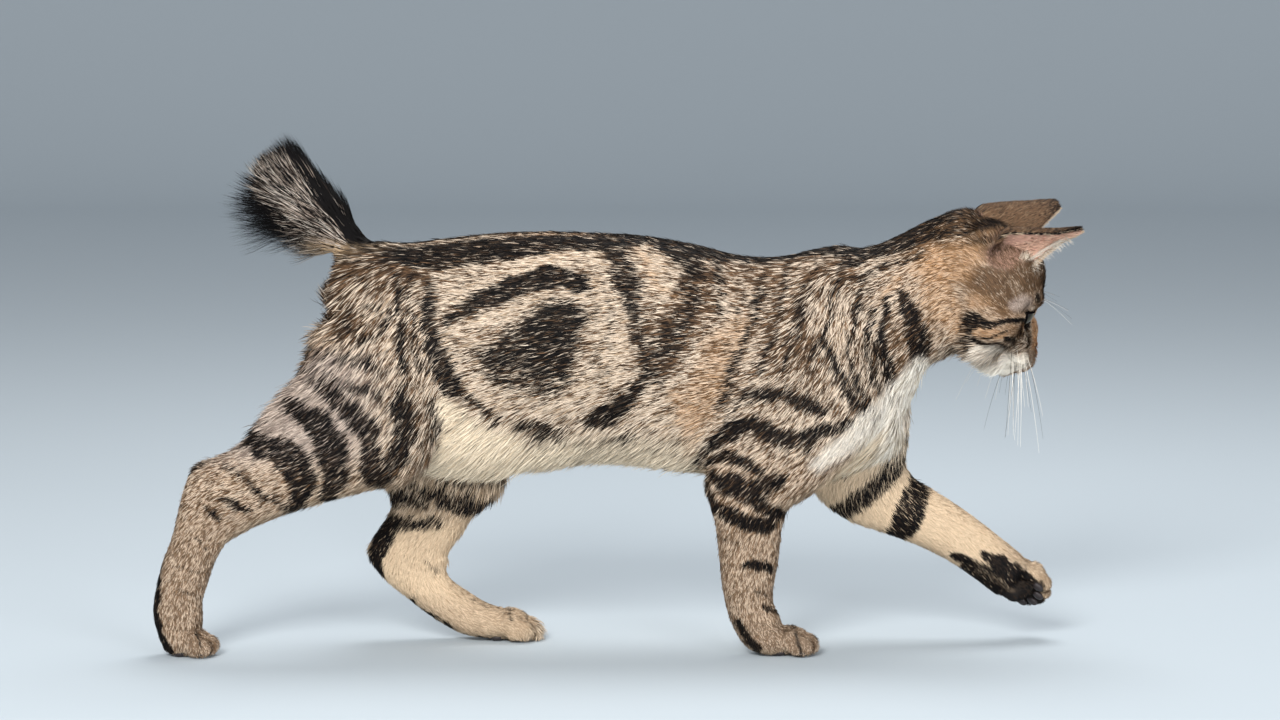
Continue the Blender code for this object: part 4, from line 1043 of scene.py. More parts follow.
def tuft_colours(m, rng):
    """Root, middle and tip colours of each tuft: ticked hairs over the ground, black ones in the marks."""
    n = len(m["dark"])
    r, r2, r3 = rng.rand(n), rng.rand(n), rng.rand(n)
    r = np.clip(0.5 + (r - 0.5) * 0.84 + (m["streak"] - 0.5) * 0.62, 0, 1)
    tone = m["tone"]
    base = np.tile(CREAM, (n, 1)) * (0.92 + 0.12 * r2[:, None])
    base = np.where((r < 0.30 + 0.35 * tone)[:, None], BEIGE * (0.85 + 0.3 * r2[:, None]), base)
    base = np.where((r < tone * 0.92)[:, None], UMBER * (0.8 + 0.5 * r2[:, None]), base)
    base = np.where((r < tone * 0.55)[:, None], DARK, base)
    light = (r >= tone * 0.92).astype(float)
    base = mix(base, GOLD * (0.95 + 0.3 * r2[:, None]), m["warm"] * (0.45 + 0.45 * r3) * (0.55 + 0.45 * light))
    # on the face the hairs differ less
    mean = ground_mean({**m, "dark": np.zeros(n), "pale": np.zeros(n), "white": np.zeros(n), "grey": np.zeros(n), "ring": np.zeros(n)})
    base = mix(base, mean * 1.12, np.maximum(0.42 * m["face"], 0.38 * m["headed"]))
    base = mix(base, mix(np.tile(BELLY, (n, 1)), PEACH, 0.12 + 0.52 * m["leg"]) * (0.84 + 0.24 * r2[:, None]) * (1 - 0.13 * m["leg"])[:, None], np.clip(m["pale"] * 1.15 - 0.15 * r3 - 0.5 * (r < 0.16) * (1 - m["leg"]), 0, 1))
    base = mix(base, WHITE * (0.92 + 0.10 * r2[:, None]), np.clip(m["white"] * 1.15 - 0.15 * r3, 0, 1))
    base = mix(base, GREY * (0.85 + 0.3 * r2[:, None]), m["grey"] * 0.95 * (0.8 + 0.2 * light))
    base = mix(base, CREAM * 0.9, m["ring"] * 0.6)
    base = mix(base, GOLD * 1.05 + BEIGE * 0.35, m["bridge"] * 0.88)
    # marks: the deeper the cover, the more of the hairs are black
    inked = step(m["dark"] + (r3 - 0.5) * (0.85 - 0.45 * m["face"]), 0.26, 0.66)
    inked *= 1 - (rng.rand(n) < 0.10 * (1 - m["face"])) * 0.7
    ink = mix(np.tile(BLACK, (n, 1)), UMBER * 0.6, (rng.rand(n) < 0.16) * 0.4)
    middle = mix(base, ink, inked)
    plain = np.clip(m["pale"] + m["white"], 0, 1)
    root = mix(middle * 0.45, middle * 0.82, plain)
    tip = mix(middle * 1.08, DARK, (rng.rand(n) < 0.38) * 0.75 * (1 - 0.8 * plain) * (1 - 0.45 * m["face"]))
    return root, middle, tip


# ---------------------------------------------------------------- tufts
def lie(co, normals, weight):
    """The way the hair lies at each point: along the limbs towards the paws and the tail, away from the nose on the face."""
    total = np.zeros_like(co)
    for k, name in enumerate(LIMB_NAMES):
        c, t, n, b = FRAMES[name]
        q = np.linalg.norm(co[:, None, :] - c[None], axis=2) / np.sqrt(np.linalg.norm(n, axis=1) * b)
        w = np.exp(-3 * (q - q.min(axis=1, keepdims=True)))
        way = (w / w.sum(axis=1, keepdims=True)) @ t * LIMBS[name][2]
        if name == "trunk":
            way = way + np.array([0, 0, -0.22]) * (1 - np.abs(normals[:, 2:3])) ** 0.5
        if name.startswith(("hind", "fore")):
            way = way + np.array([-0.25, 0, 0])
        total += weight[:, k:k + 1] * way
    f, l, u = local(co)
    away = (f - 54)[:, None] * FORWARD + (l * 1.1)[:, None] * LEFT + (u + 10)[:, None] * UP
    away = unit(away)
    back = unit(-FORWARD + 0.1 * UP)
    total += weight[:, -1:] * unit(away + back * step(-f, -10, 40)[:, None])
    for tip, y, floor, tilt, size in PAWS:
        base, fwd, lat, up = paw_frame(tip, y, floor, tilt)
        q = (co - base) * 1000.0 / size
        ahead, high = q @ fwd, q @ up
        toe = step(ahead, -22, -8) * (np.abs(q @ lat) < 20) * (np.abs(high - 8) < 18)
        total = total * (1 - 0.85 * toe[:, None]) + (0.3 * fwd - 1.0 * up) * (0.85 * toe[:, None])
    total -= np.einsum("ij,ij->i", total, normals)[:, None] * normals
    return unit(total)


def triangle_data(me):
    tri = np.empty(len(me.loop_triangles) * 3, np.int32)
    loops = np.empty(len(me.loop_triangles) * 3, np.int32)
    me.loop_triangles.foreach_get("vertices", tri)
    me.loop_triangles.foreach_get("loops", loops)
    uv = np.empty(len(me.loops) * 2, np.float32)
    me.uv_layers["OFBake"].data.foreach_get("uv", uv)
    return tri.reshape(-1, 3), loops.reshape(-1, 3), uv.reshape(-1, 2).astype(float)


def scatter(co, tri, density, rng):
    """Random places over the triangles: the triangle and the weights of its corners. density is per square metre and vertex."""
    a, b, c = co[tri[:, 0]], co[tri[:, 1]], co[tri[:, 2]]
    area = np.linalg.norm(np.cross(b - a, c - a), axis=1) / 2
    want = area * density[tri].mean(axis=1)
    count = int(want.sum())
    edges = np.cumsum(want)
    pick = np.searchsorted(edges, (np.arange(count) + rng.rand(count)) / count * edges[-1])
    pick = np.minimum(pick, len(tri) - 1)
    r1, r2 = np.sqrt(rng.rand(count)), rng.rand(count)
    return pick, np.stack([1 - r1, r1 * (1 - r2), r1 * r2], 1)


STATIONS = {2: np.array([0.0, 0.55, 1.0]), 3: np.array([0.0, 0.36, 0.72, 1.0])}
SHAPES = {2: np.array([0.85, 1.0, 0.0]), 3: np.array([0.75, 1.0, 0.72, 0.0])}


def blades(name, root, normal, way, length, lift, width, colours, uv, rng, curl=0.06, droop=None, spans=3, split=190000, soft=0.72):
    """Thin curved blades of so many spans, in meshes of fewer than split triangles. lift is the tip's height over the skin."""
    n = len(root)
    stations, shape = STATIONS[spans], SHAPES[spans]
    side = unit(np.cross(way, normal))
    roll = (rng.rand(n) - 0.5) * 1.5
    across = unit(side * np.cos(roll)[:, None] + normal * np.sin(roll)[:, None])
    run = np.sqrt(np.maximum(length ** 2 - lift ** 2, (0.3 * length) ** 2))
    bend = side * ((rng.rand(n) - 0.5) * 2 * curl * length)[:, None]
    pts = []
    for s in stations:
        p = root + way * (run * s)[:, None] + normal * (lift * (1.5 * s - 0.5 * s * s))[:, None] + bend * s * s
        if droop is not None:
            p = p + droop * (s * s)
        pts.append(p)
    pts = np.stack(pts, 1)
    pts[:, :, 2] = np.maximum(pts[:, :, 2], 0.0004)
    tang = unit(np.gradient(pts, axis=1))
    face_n = unit(np.cross(across[:, None, :], tang))
    flip = np.sign(np.einsum("ijk,ik->ij", face_n, normal)).mean(axis=1)
    face_n *= np.where(flip < 0, -1, 1)[:, None, None]
    shade = unit(normal[:, None, :] * soft + face_n * (1 - soft) + tang * 0.10)
    half = across[:, None, :] * (width[:, None] * shape / 2)[:, :, None]
    co = np.concatenate([(pts - half)[:, :spans], (pts + half)[:, :spans], pts[:, spans:]], 1)
    nn = np.concatenate([shade[:, :spans], shade[:, :spans], shade[:, spans:]], 1)
    r, m, t = colours
    ramp = [r, r * 0.35 + m * 0.65, m][:spans] if spans == 3 else [r, m]
    col = np.stack(ramp + ramp + [t], 1)
    sx = np.array([-1] * spans + [1] * spans + [0]) * 0.0011
    sy = (np.concatenate([stations[:-1], stations[:-1], stations[-1:]]) - 0.5) * 0.0028
    uvs = uv[:, None, :] + np.stack([sx, sy], 1)[None]
    quads = [[i, spans + i, spans + i + 1, i + 1] for i in range(spans - 1)]
    order = np.array([x for a, b, c, d in quads for x in ((a, b, c), (a, c, d))] + [(spans - 1, 2 * spans - 1, 2 * spans)])
    geo = np.cross(co[:, spans] - co[:, 0], co[:, spans + 1] - co[:, 0])
    turned = np.einsum("ij,ij->i", geo, normal) < 0
    faces = np.where(turned[:, None, None], order[None, :, ::-1], order[None])
    made = []
    verts, tris = 2 * spans + 1, 2 * spans - 1
    per = split // tris
    # pieces run along the body, so that each is one stretch of coat
    rank = np.argsort(root[:, 0], kind="stable")
    for i, start in enumerate(range(0, n, per)):
        pick = rank[start:start + per]
        f = (faces[pick] + (np.arange(len(pick)) * verts)[:, None, None]).reshape(-1, 3)
        made.append(raw_mesh(f"{name}_{i + 1}", co[pick].reshape(-1, 3), f, nn[pick].reshape(-1, 3), col[pick].reshape(-1, 3), uvs[pick].reshape(-1, 2)))
    return made


def raw_mesh(name, co, faces, normals=None, colours=None, uv=None):
    me = bpy.data.meshes.new(name)
    me.vertices.add(len(co))
    me.vertices.foreach_set("co", np.ascontiguousarray(co, np.float32).ravel())
    me.loops.add(faces.size)
    me.loops.foreach_set("vertex_index", np.ascontiguousarray(faces, np.int32).ravel())
    me.polygons.add(len(faces))
    me.polygons.foreach_set("loop_start", np.arange(0, faces.size, 3, dtype=np.int32))
    me.update(calc_edges=True)
    me.polygons.foreach_set("use_smooth", np.ones(len(faces), bool))
    if colours is not None:
        a = me.color_attributes.new("Coat", "FLOAT_COLOR", "POINT")
        a.data.foreach_set("color", np.concatenate([np.clip(colours, 0, 1), np.ones((len(colours), 1))], 1).astype(np.float32).ravel())
    if uv is not None:
        layer = me.uv_layers.new(name="OFBake")
        layer.data.foreach_set("uv", np.clip(uv, 0.0005, 0.9995)[faces.ravel()].astype(np.float32).ravel())
    if normals is not None:
        me.normals_split_custom_set_from_vertices(normals.astype(np.float32))
    me.update()
    return put(name, me)


def tinted(me, colours):
    a = me.color_attributes.new("Coat", "FLOAT_COLOR", "POINT")
    a.data.foreach_set("color", np.concatenate([np.clip(colours, 0, 1), np.ones((len(colours), 1))], 1).astype(np.float32).ravel())


def gathered(root, normal, way, cell, rng, pull, stray):
    """Hairs lean together in locks: each is drawn to the middle of its own cell, and strays a little."""
    jitter = (rng.rand(*root.shape) - 0.5) * cell * 0.7
    key = np.floor((root + jitter) / cell).astype(np.int64) + 500
    _, index = np.unique(key[:, 0] * 1000000 + key[:, 1] * 1000 + key[:, 2], return_inverse=True)
    index = index.reshape(-1)
    count = np.bincount(index)
    middle = np.stack([np.bincount(index, root[:, k]) / count for k in range(3)], 1)[index]
    sway = (rng.rand(len(count), 3) - 0.5)[index]
    way = way + (sway * 1.3 + (rng.rand(*root.shape) - 0.5)) * np.broadcast_to(stray, (len(root),))[:, None]
    way -= np.einsum("ij,ij->i", way, normal)[:, None] * normal
    way = unit(way)
    toward = middle - root
    toward -= np.einsum("ij,ij->i", toward, normal)[:, None] * normal
    toward -= np.einsum("ij,ij->i", toward, way)[:, None] * way
    return way, toward * pull, index


# ---------------------------------------------------------------- materials
def coat_material(name, rough, bump=0.0, scale=900.0, sheen=0.0, specular=0.3, subsurface=0.0):
    m = bpy.data.materials.new(name)
    m.use_nodes = True
    nt = m.node_tree
    b = nt.nodes["Principled BSDF"]
    a = nt.nodes.new("ShaderNodeVertexColor")
    a.layer_name = "Coat"
    coord = nt.nodes.new("ShaderNodeTexCoord")
    noise = nt.nodes.new("ShaderNodeTexNoise")
    noise.inputs["Scale"].default_value = scale
    noise.inputs["Detail"].default_value = 3.0
    nt.links.new(coord.outputs["Object"], noise.inputs["Vector"])
    ramp = nt.nodes.new("ShaderNodeMapRange")
    ramp.inputs["From Min"].default_value = 0.25
    ramp.inputs["From Max"].default_value = 0.75
    ramp.inputs["To Min"].default_value = 0.86
    ramp.inputs["To Max"].default_value = 1.12
    nt.links.new(noise.outputs["Fac"], ramp.inputs["Value"])
    mul = nt.nodes.new("ShaderNodeVectorMath")
    mul.operation = "SCALE"
    nt.links.new(a.outputs["Color"], mul.inputs[0])
    nt.links.new(ramp.outputs["Result"], mul.inputs["Scale"])
    nt.links.new(mul.outputs["Vector"], b.inputs["Base Color"])
    b.inputs["Roughness"].default_value = rough
    b.inputs["Specular IOR Level"].default_value = specular
    b.inputs["Sheen Weight"].default_value = sheen
    b.inputs["Subsurface Weight"].default_value = subsurface
    if bump:
        bn = nt.nodes.new("ShaderNodeBump")
        bn.inputs["Strength"].default_value = bump
        bn.inputs["Distance"].default_value = 0.0004
        nt.links.new(noise.outputs["Fac"], bn.inputs["Height"])
        nt.links.new(bn.outputs["Normal"], b.inputs["Normal"])
    return m


def dress(o, material):
    o.data.materials.clear()
    o.data.materials.append(material)
    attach(o, "root")
    return o


# ---------------------------------------------------------------- ears
def in_ear(co):
    """1 for points of the skin inside the cup of an ear."""
    out = np.zeros(len(co))
    for side in (1, -1):
        for s in np.linspace(0.0, 0.5, 9):
            a, _ = ear_point(side, s, -1.0)
            b, _ = ear_point(side, s, 1.0)
            back, _ = ear_point(side, s, 0.0)
            middle, half = (a + b) / 2, np.linalg.norm(b - a) / 2
            core = middle * 0.62 + back * 0.38
            out = np.maximum(out, 1 - step(np.linalg.norm(co - core, axis=1), half * 0.62, half * 0.84))
    return out


def hollowed(co):
    """Draws the skin at the bottom of each ear's cup inwards, so that the cup stays hollow."""
    for side in (1, -1):
        _, _, axis = ear_frame(side)
        for s, reach in ((0.02, 0.80), (0.16, 0.80), (0.32, 0.72)):
            a, _ = ear_point(side, s, -1.0)
            b, _ = ear_point(side, s, 1.0)
            back, _ = ear_point(side, s, 0.0)
            middle, half = (a + b) / 2, np.linalg.norm(b - a) / 2
            core = middle * 0.75 + back * 0.25
            near_it = 1 - step(np.linalg.norm(co - core, axis=1), half * 0.35, half * reach)
            into = unit(back - middle) - 0.8 * axis
            co = co + unit(into) * (0.0042 * near_it)[:, None]
    return co


def sheet_point(side, s, k):
    """A point of the ear's sheet; the part under the coat narrows into the head."""
    middle, out = ear_point(side, s, k)
    if s < 0.06:
        base, axis, _ = ear_frame(side)
        centre = base + axis * s
        middle = centre + (middle - centre) * (1 - 0.55 * min((0.06 - s) / 0.2, 1.0))
    return middle, out


def ear_mesh(side):
    """The ear's skin: both faces with their rims, pink inside with painted shade towards the bottom of the cup, and its
    unwrap in half of the map.
    """
    rows, cols = (30, 30)
    grid_o, grid_i, col_o, col_i, uv_o, uv_i = [], [], [], [], [], []
    for i in range(rows + 1):
        s = -0.20 + 1.19 * i / rows
        for j in range(cols + 1):
            k = j / cols * 2 - 1
            middle, out = sheet_point(side, s, k)
            q = max(s, 0)
            thick = 0.0011 * (1.15 - 0.5 * q) * 0.5 * math.sqrt(max(1 - k ** 6, 0.12))
            fold = 0.0007 * math.sin(k * 9 + 0.6) * (1 - q) ** 1.5 * (1 - k * k) * (s < 0.45)
            grid_o.append(middle + out * thick)
            grid_i.append(middle - out * (thick + fold))
            edge = abs(k) ** 6
            tipness = max(0, (s - 0.72) / 0.28)
            # painted shade: the pink inside darkens towards the bottom of the cup
            inside = PINK * (0.80 + 0.35 * q) * (1 - 0.75 * max(0, 0.30 - s) / 0.5)
            inside = inside * (1 - 0.5 * edge) + DARK * 0.5 * edge
            outside = (UMBER * 0.8 + DARK * 0.2) * (1 - tipness * 0.8) + BLACK * tipness * 0.8
            outside = outside * (1 - 0.5 * edge) + BLACK * 0.5 * edge
            col_o.append(outside)
            col_i.append(inside * (1 - 0.35 * tipness))
            base_u = 0.02 if side > 0 else 0.52
            uv_o.append((base_u + 0.22 * j / cols, 0.05 + 0.6 * i / rows))
            uv_i.append((base_u + 0.24 + 0.22 * j / cols, 0.05 + 0.6 * i / rows))
    n = (rows + 1) * (cols + 1)
    faces = []
    for i in range(rows):
        for j in range(cols):
            a, b, c, d = i * (cols + 1) + j, i * (cols + 1) + j + 1, (i + 1) * (cols + 1) + j + 1, (i + 1) * (cols + 1) + j
            faces += [(a, b, c), (a, c, d), (n + a, n + c, n + b), (n + a, n + d, n + c)]
    for i in range(rows):
        for j in (0, cols):
            a, d = i * (cols + 1) + j, (i + 1) * (cols + 1) + j
            faces += [(a, d, n + d), (a, n + d, n + a)] if j == 0 else [(a, n + d, d), (a, n + a, n + d)]
    for j in range(cols):
        for i in (0, rows):
            a, b = i * (cols + 1) + j, i * (cols + 1) + j + 1
            faces += [(a, n + b, b), (a, n + a, n + b)] if i == 0 else [(a, b, n + b), (a, n + b, n + a)]
    co = np.array(grid_o + grid_i)
    uv = np.array(uv_o + uv_i)
    o = raw_mesh("ear_skin_" + ("left" if side > 0 else "right"), co, np.array(faces), None, np.array(col_o + col_i), uv)
    bm = bmesh.new()
    bm.from_mesh(o.data)
    bmesh.ops.recalc_face_normals(bm, faces=bm.faces)
    bm.to_mesh(o.data)
    bm.free()
    return o


def ear_hair(rng):
    """Short hair on the ears' backs, a fringe on their rims and long pale hair along the front rim and in the cup."""
    roots, normals, ways, lengths, lifts, widths, cols, uvs = [], [], [], [], [], [], [], []

    def add(p, nrm, way, length, lift, width, colour, uv):
        roots.append(p)
        normals.append(nrm)
        ways.append(way)
        lengths.append(length)
        lifts.append(lift)
        widths.append(width)
        cols.append(colour)
        uvs.append(uv)

    for side in (1, -1):
        base_u = 0.02 if side > 0 else 0.52
        _, axis, unit_axis = ear_frame(side)
        for _ in range(9500):
            s, k = -0.10 + 1.05 * rng.rand() ** 1.25, rng.rand() * 2 - 1
            middle, out = sheet_point(side, s, k)
            way = unit_axis + (rng.rand(3) - 0.5) * 0.3
            way = unit(way - way.dot(out) * out)
            tipness = max(0.0, (s - 0.62) / 0.38)
            dark = rng.rand() < 0.16 + 0.75 * tipness + 0.35 * abs(k) ** 4
            c = (DARK * 0.8 + BLACK * 0.2) * (0.8 + 0.6 * rng.rand()) if dark else (UMBER * (0.95 + 0.3 * rng.rand()) if rng.rand() < 0.86 else BEIGE * 0.35 + GOLD * 0.2)
            add(middle + out * 0.0005, out, way, 0.0038 + 0.002 * rng.rand() + 0.004 * max(0, 0.15 - s), 0.0009, 0.00042, c,
                (base_u + 0.11 * (k + 1), 0.05 + 0.6 * (s + 0.2) / 1.19))
        for _ in range(2600):                                   # short down inside
            s, k = 0.02 + 0.93 * rng.rand(), (rng.rand() * 2 - 1) * 0.95
            middle, out = sheet_point(side, s, k)
            way = unit_axis + (rng.rand(3) - 0.5) * 0.4
            way = unit(way + out * way.dot(out))
            c = (PINK * 0.66 + BEIGE * 0.5) * (0.66 + 0.45 * rng.rand()) if rng.rand() > 0.44 - s + 0.38 * max(0.0, k) else UMBER * (0.8 + 0.7 * rng.rand())
            add(middle - out * 0.0006, -out, way, 0.004, 0.0005, 0.0005, c, (base_u + 0.24 + 0.11 * (k + 1), 0.05 + 0.6 * (s + 0.2) / 1.19))
        for _ in range(1100):                                   # fringe of the rims
            s = rng.rand() * 0.97
            k = -1.0 if rng.rand() < 0.5 else 1.0
            middle, out = sheet_point(side, s, k)
            inner, _ = sheet_point(side, s, k * 0.9)
            outward = unit(middle - inner)
            way = unit(unit_axis * 1.0 + outward * (0.25 + 0.3 * rng.rand()) + (rng.rand(3) - 0.5) * 0.25)
            c = BLACK if (rng.rand() < 0.8 and k > 0) else BEIGE
            add(middle, out, way, 0.0035 + 0.002 * rng.rand(), 0.0003, 0.0005, c, (base_u + 0.11 * (k + 1), 0.05 + 0.6 * (s + 0.2) / 1.19))
        for i in range(330):                                    # long pale hair from the front rim, into the cup and out over the rim
            s = 0.02 + (0.66 if i % 2 else 0.80) * rng.rand() ** 1.2
            k = -0.97 + 0.30 * rng.rand() ** 2
            middle, out = sheet_point(side, s, k)
            far, _ = sheet_point(side, min(s + 0.34, 0.9), 0.25)
            rim, _ = sheet_point(side, s, -1.0)
            back, _ = sheet_point(side, s, -0.6)
            if i % 2:
                way = unit(unit(far - middle) * 0.75 + unit_axis * 0.55 - out * 0.35 + (rng.rand(3) - 0.5) * 0.35)
            else:
                way = unit(unit(rim - back) * 0.75 + unit_axis * 0.55 - out * 0.25 + (rng.rand(3) - 0.5) * 0.9)
            c = (WHITE * 0.45 + CREAM * 0.45) * (0.7 + 0.3 * rng.rand())
            add(middle - out * 0.0008, -out, way, (0.006 + 0.010 * rng.rand() * (1 - s)) * (1 if i % 2 else 0.9), 0.0015, 0.00016, c,
                (base_u + 0.24 + 0.11 * (k + 1), 0.05 + 0.6 * (s + 0.2) / 1.19))
        for _ in range(170):                                    # a tuft that crosses the bottom of the bowl from its front edge
            s, k = 0.02 + 0.16 * rng.rand(), -0.98 + 0.30 * rng.rand()
            middle, out = sheet_point(side, s, k)
            far, _ = ear_point(side, 0.30, 0.55)
            way = unit(unit(far - middle) + unit_axis * 0.45 + (rng.rand(3) - 0.5) * 0.45)
            c = (WHITE * 0.35 + BELLY * 0.5) * (0.75 + 0.3 * rng.rand())
            add(middle - out * 0.0008, -out, way, 0.008 + 0.007 * rng.rand(), 0.003, 0.00019, c,
                (base_u + 0.24 + 0.11 * (k + 1), 0.05 + 0.6 * (s + 0.2) / 1.19))
    cols = np.array(cols)
    return blades("coat_ears", np.array(roots), np.array(normals), np.array(ways), np.array(lengths), np.array(lifts), np.array(widths),
                  (cols * 0.75, cols, cols * 1.05), np.array(uvs), rng, curl=0.10, soft=0.6, spans=2)


# ---------------------------------------------------------------- face pieces
def eye_mesh(side):
    """An eyeball whose rings centre on the pupil: slit pupil, gold-green iris with a dark rim, dark corners, and
    painted shade over its outer side.
    """
    centre, look, out, up = eye_frame(side)
    rings, seg = 46, 72
    co, col = [], []
    r = EYEBALL * 1000 - 0.1
    for i in range(rings + 1):
        th = math.pi * (i / rings) ** 1.35
        for j in range(seg):
            ph = 2 * math.pi * j / seg
            bulge = 1 + 0.045 * math.exp(-(th / 0.55) ** 2)
            a, b = math.sin(th) * math.cos(ph), math.sin(th) * math.sin(ph)
            co.append(centre + (look * math.cos(th) + out * a + up * b) * r * bulge / 1000.0)
            x, y = math.sin(th) * math.cos(ph + 0.35) * r, math.sin(th) * math.sin(ph + 0.35) * r
            iris = math.hypot(x, y)
            slit = abs(x) - 3.7 * max(1 - (y / 6.6) ** 2, 0) ** 0.7
            fibre = 0.5 + 0.5 * math.sin(ph * 37 + 2.1 * math.sin(ph * 11)) * 0.6
            c = linear((132, 108, 48)) * (0.42 + 0.45 * fibre) * (1 - 0.35 * math.exp(-((iris - 4.0) / 1.6) ** 2)) + linear((80, 100, 44)) * 0.22
            # painted shade: the iris darkens over the eye's outer side, as if under the lid
            if x > 2.8:
                c = c * max(0.14, 1 - (x - 2.8) / 2.2)
            if iris > 6.7:
                c = c * max(0.10, 1 - (iris - 6.7) / 0.8)
            if iris > 7.6 or th > 1.6:
                c = linear((30, 23, 20))
            if slit < 0.15 and th < 1.6:
                c = c * 0.02 if slit < 0 else c * (slit / 0.15)
            col.append(c)
    faces = []
    for i in range(rings):
        for j in range(seg):
            k = (j + 1) % seg
            a, b, c, d = i * seg + j, i * seg + k, (i + 1) * seg + k, (i + 1) * seg + j
            faces += [(a, d, c), (a, c, b)] if 0 < i < rings - 1 else ([(a, d, c)] if i == 0 else [(a, d, b)])
    name = "eyeball_" + ("left" if side > 0 else "right")
    o = raw_mesh(name, np.array(co), np.array(faces), None, np.array(col))
    tidy(o)
    return o


def tidy(o):
    bm = bmesh.new()
    bm.from_mesh(o.data)
    bmesh.ops.remove_doubles(bm, verts=bm.verts, dist=1e-6)
    bmesh.ops.recalc_face_normals(bm, faces=bm.faces)
    if bm.calc_volume(signed=True) < 0:
        bmesh.ops.reverse_faces(bm, faces=bm.faces)
    bm.to_mesh(o.data)
    bm.free()
    o.data.polygons.foreach_set("use_smooth", np.ones(len(o.data.polygons), bool))


def lid_mesh(side):
    """The lids' rim: a dark, rounded band along the eye's opening, with a skirt that runs under the skin."""
    centre, look, out, up = eye_frame(side)
    r0 = EYEBALL * 1000
    n = 96
    loop = []
    for i in range(n):
        w = 2 * math.pi * i / n
        a = math.cos(w)
        h = lid_height(np.array([a * 0.995]), math.sin(w) > 0)[0] * (1 if math.sin(w) > 0 else -1) if abs(math.sin(w)) > 1e-6 else 0.0
        loop.append((a * EYE_LONG, h))
    profile = [(-0.30, -0.6), (-0.25, 0.20), (0.0, 0.42), (0.45, 0.50), (1.0, 0.40), (1.7, 0.0), (2.6, -1.0)]
    co, col = [], []
    for i in range(n):
        a, b = loop[i]
        p, q = loop[i - 1], loop[(i + 1) % n]
        t = np.array([q[0] - p[0], q[1] - p[1]])
        t /= max(np.linalg.norm(t), 1e-9)
        away = np.array([t[1], -t[0]])
        for k, (o2, h) in enumerate(profile):
            x, y = a + away[0] * o2, b + away[1] * o2
            rr = r0 + h
            z = math.sqrt(max(rr * rr - min(x * x + y * y, rr * rr * 0.995), 0.01))
            co.append(centre + (out * x + up * y + look * z) / 1000.0)
            col.append(BLACK)
    m = len(profile)
    faces = []
    for i in range(n):
        j = (i + 1) % n
        for k in range(m - 1):
            a, b, c, d = i * m + k, j * m + k, j * m + k + 1, i * m + k + 1
            faces += [(a, b, c), (a, c, d)]
    o = raw_mesh("lids_" + ("left" if side > 0 else "right"), np.array(co), np.array(faces), None, np.array(col))
    bm = bmesh.new()
    bm.from_mesh(o.data)
    bmesh.ops.recalc_face_normals(bm, faces=bm.faces)
    bm.faces.ensure_lookup_table()
    f = bm.faces[len(bm.faces) // 2]
    if f.normal.dot(Vector(np.array(f.calc_center_median()) - centre)) < 0:
        bmesh.ops.reverse_faces(bm, faces=bm.faces)
    bm.to_mesh(o.data)
    bm.free()
    o.data.polygons.foreach_set("use_smooth", np.ones(len(o.data.polygons), bool))
    return o


def nose_mesh():
    """Nose leather: a wide upper edge, wings round comma-shaped nostrils and a notch down to the lip, with painted
    shade in the nostrils and the notch.
    """
    bm = bmesh.new()
    made = bmesh.ops.create_icosphere(bm, subdivisions=5, radius=1.0)["verts"]
    axes = np.array([FORWARD, LEFT, UP])
    centre = head(46.6, 0, -16.4)
    col = []
    for v in made:
        x, y, z = v.co
        wide = 5.6 * (0.80 + 0.30 * z)
        f, l, u = 5.6 * x, wide * y, 4.9 * z
        if x > 0:
            f += 0.7 * max(z, 0) * x + 0.6 * max(-z, 0) * x
        hole = math.exp(-(((abs(l) - 2.9) / 1.15) ** 2 + ((u + 0.9 - 0.28 * (abs(l) - 2.9)) / 0.85) ** 2))
        slit = math.exp(-(((abs(l) - 4.4) / 1.3) ** 2 + ((u + 1.5) / 0.42) ** 2))
        notch = math.exp(-(l / 0.5) ** 2) * (1 if u < 0.5 else math.exp(-((u - 0.5) / 1.2) ** 2))
        push = (2.1 * hole + 1.0 * slit + 0.5 * notch) * max(x, 0) ** 0.5 if x > 0 else 0
        f -= push
        p = centre + (np.array([f, l, u]) @ axes) / 1000.0
        v.co = Vector(p)
        # painted shade: the nostrils are darkened inside
        c = LEATHER * (1 - 0.93 * min(1, hole * 1.3 + slit))
        rim = min(1, max(0, (abs(l) / max(wide, 1) - 0.50) / 0.25)) if x > -0.3 else 1
        rim = max(rim, min(1, max(0, (-u - 2.6) / 1.2)), min(1, max(0, (u - 3.4) / 0.8)))
        c = c * (1 - 0.85 * rim) + BLACK * 0.85 * rim
        # painted shade: the notch is darkened
        col.append(c * (1 - 0.4 * notch))
    me = finish_mesh(bm, "nose")
    o = put("nose", me)
    tinted(me, np.array(col))
    me.polygons.foreach_set("use_smooth", np.ones(len(me.polygons), bool))
    return o


def strand(points, r0, r1, sides=5):
    """A thin tapered round hair along the points: vertices and faces."""
    pts = np.array(points)
    t = unit(np.gradient(pts, axis=0))
    a = unit(np.cross(t, np.array([0.3, 0.9, 0.2])))
    b = np.cross(t, a)
    co, faces = [], []
    n = len(pts)
    for i in range(n):
        r = r0 + (r1 - r0) * i / (n - 1)
        for k in range(sides):
            w = 2 * math.pi * k / sides
            co.append(pts[i] + (a[i] * math.cos(w) + b[i] * math.sin(w)) * r)
    for i in range(n - 1):
        for k in range(sides):
            m = (k + 1) % sides
            p, q, s, u = i * sides + k, i * sides + m, (i + 1) * sides + m, (i + 1) * sides + k
            faces += [(p, q, s), (p, s, u)]
    return co, faces


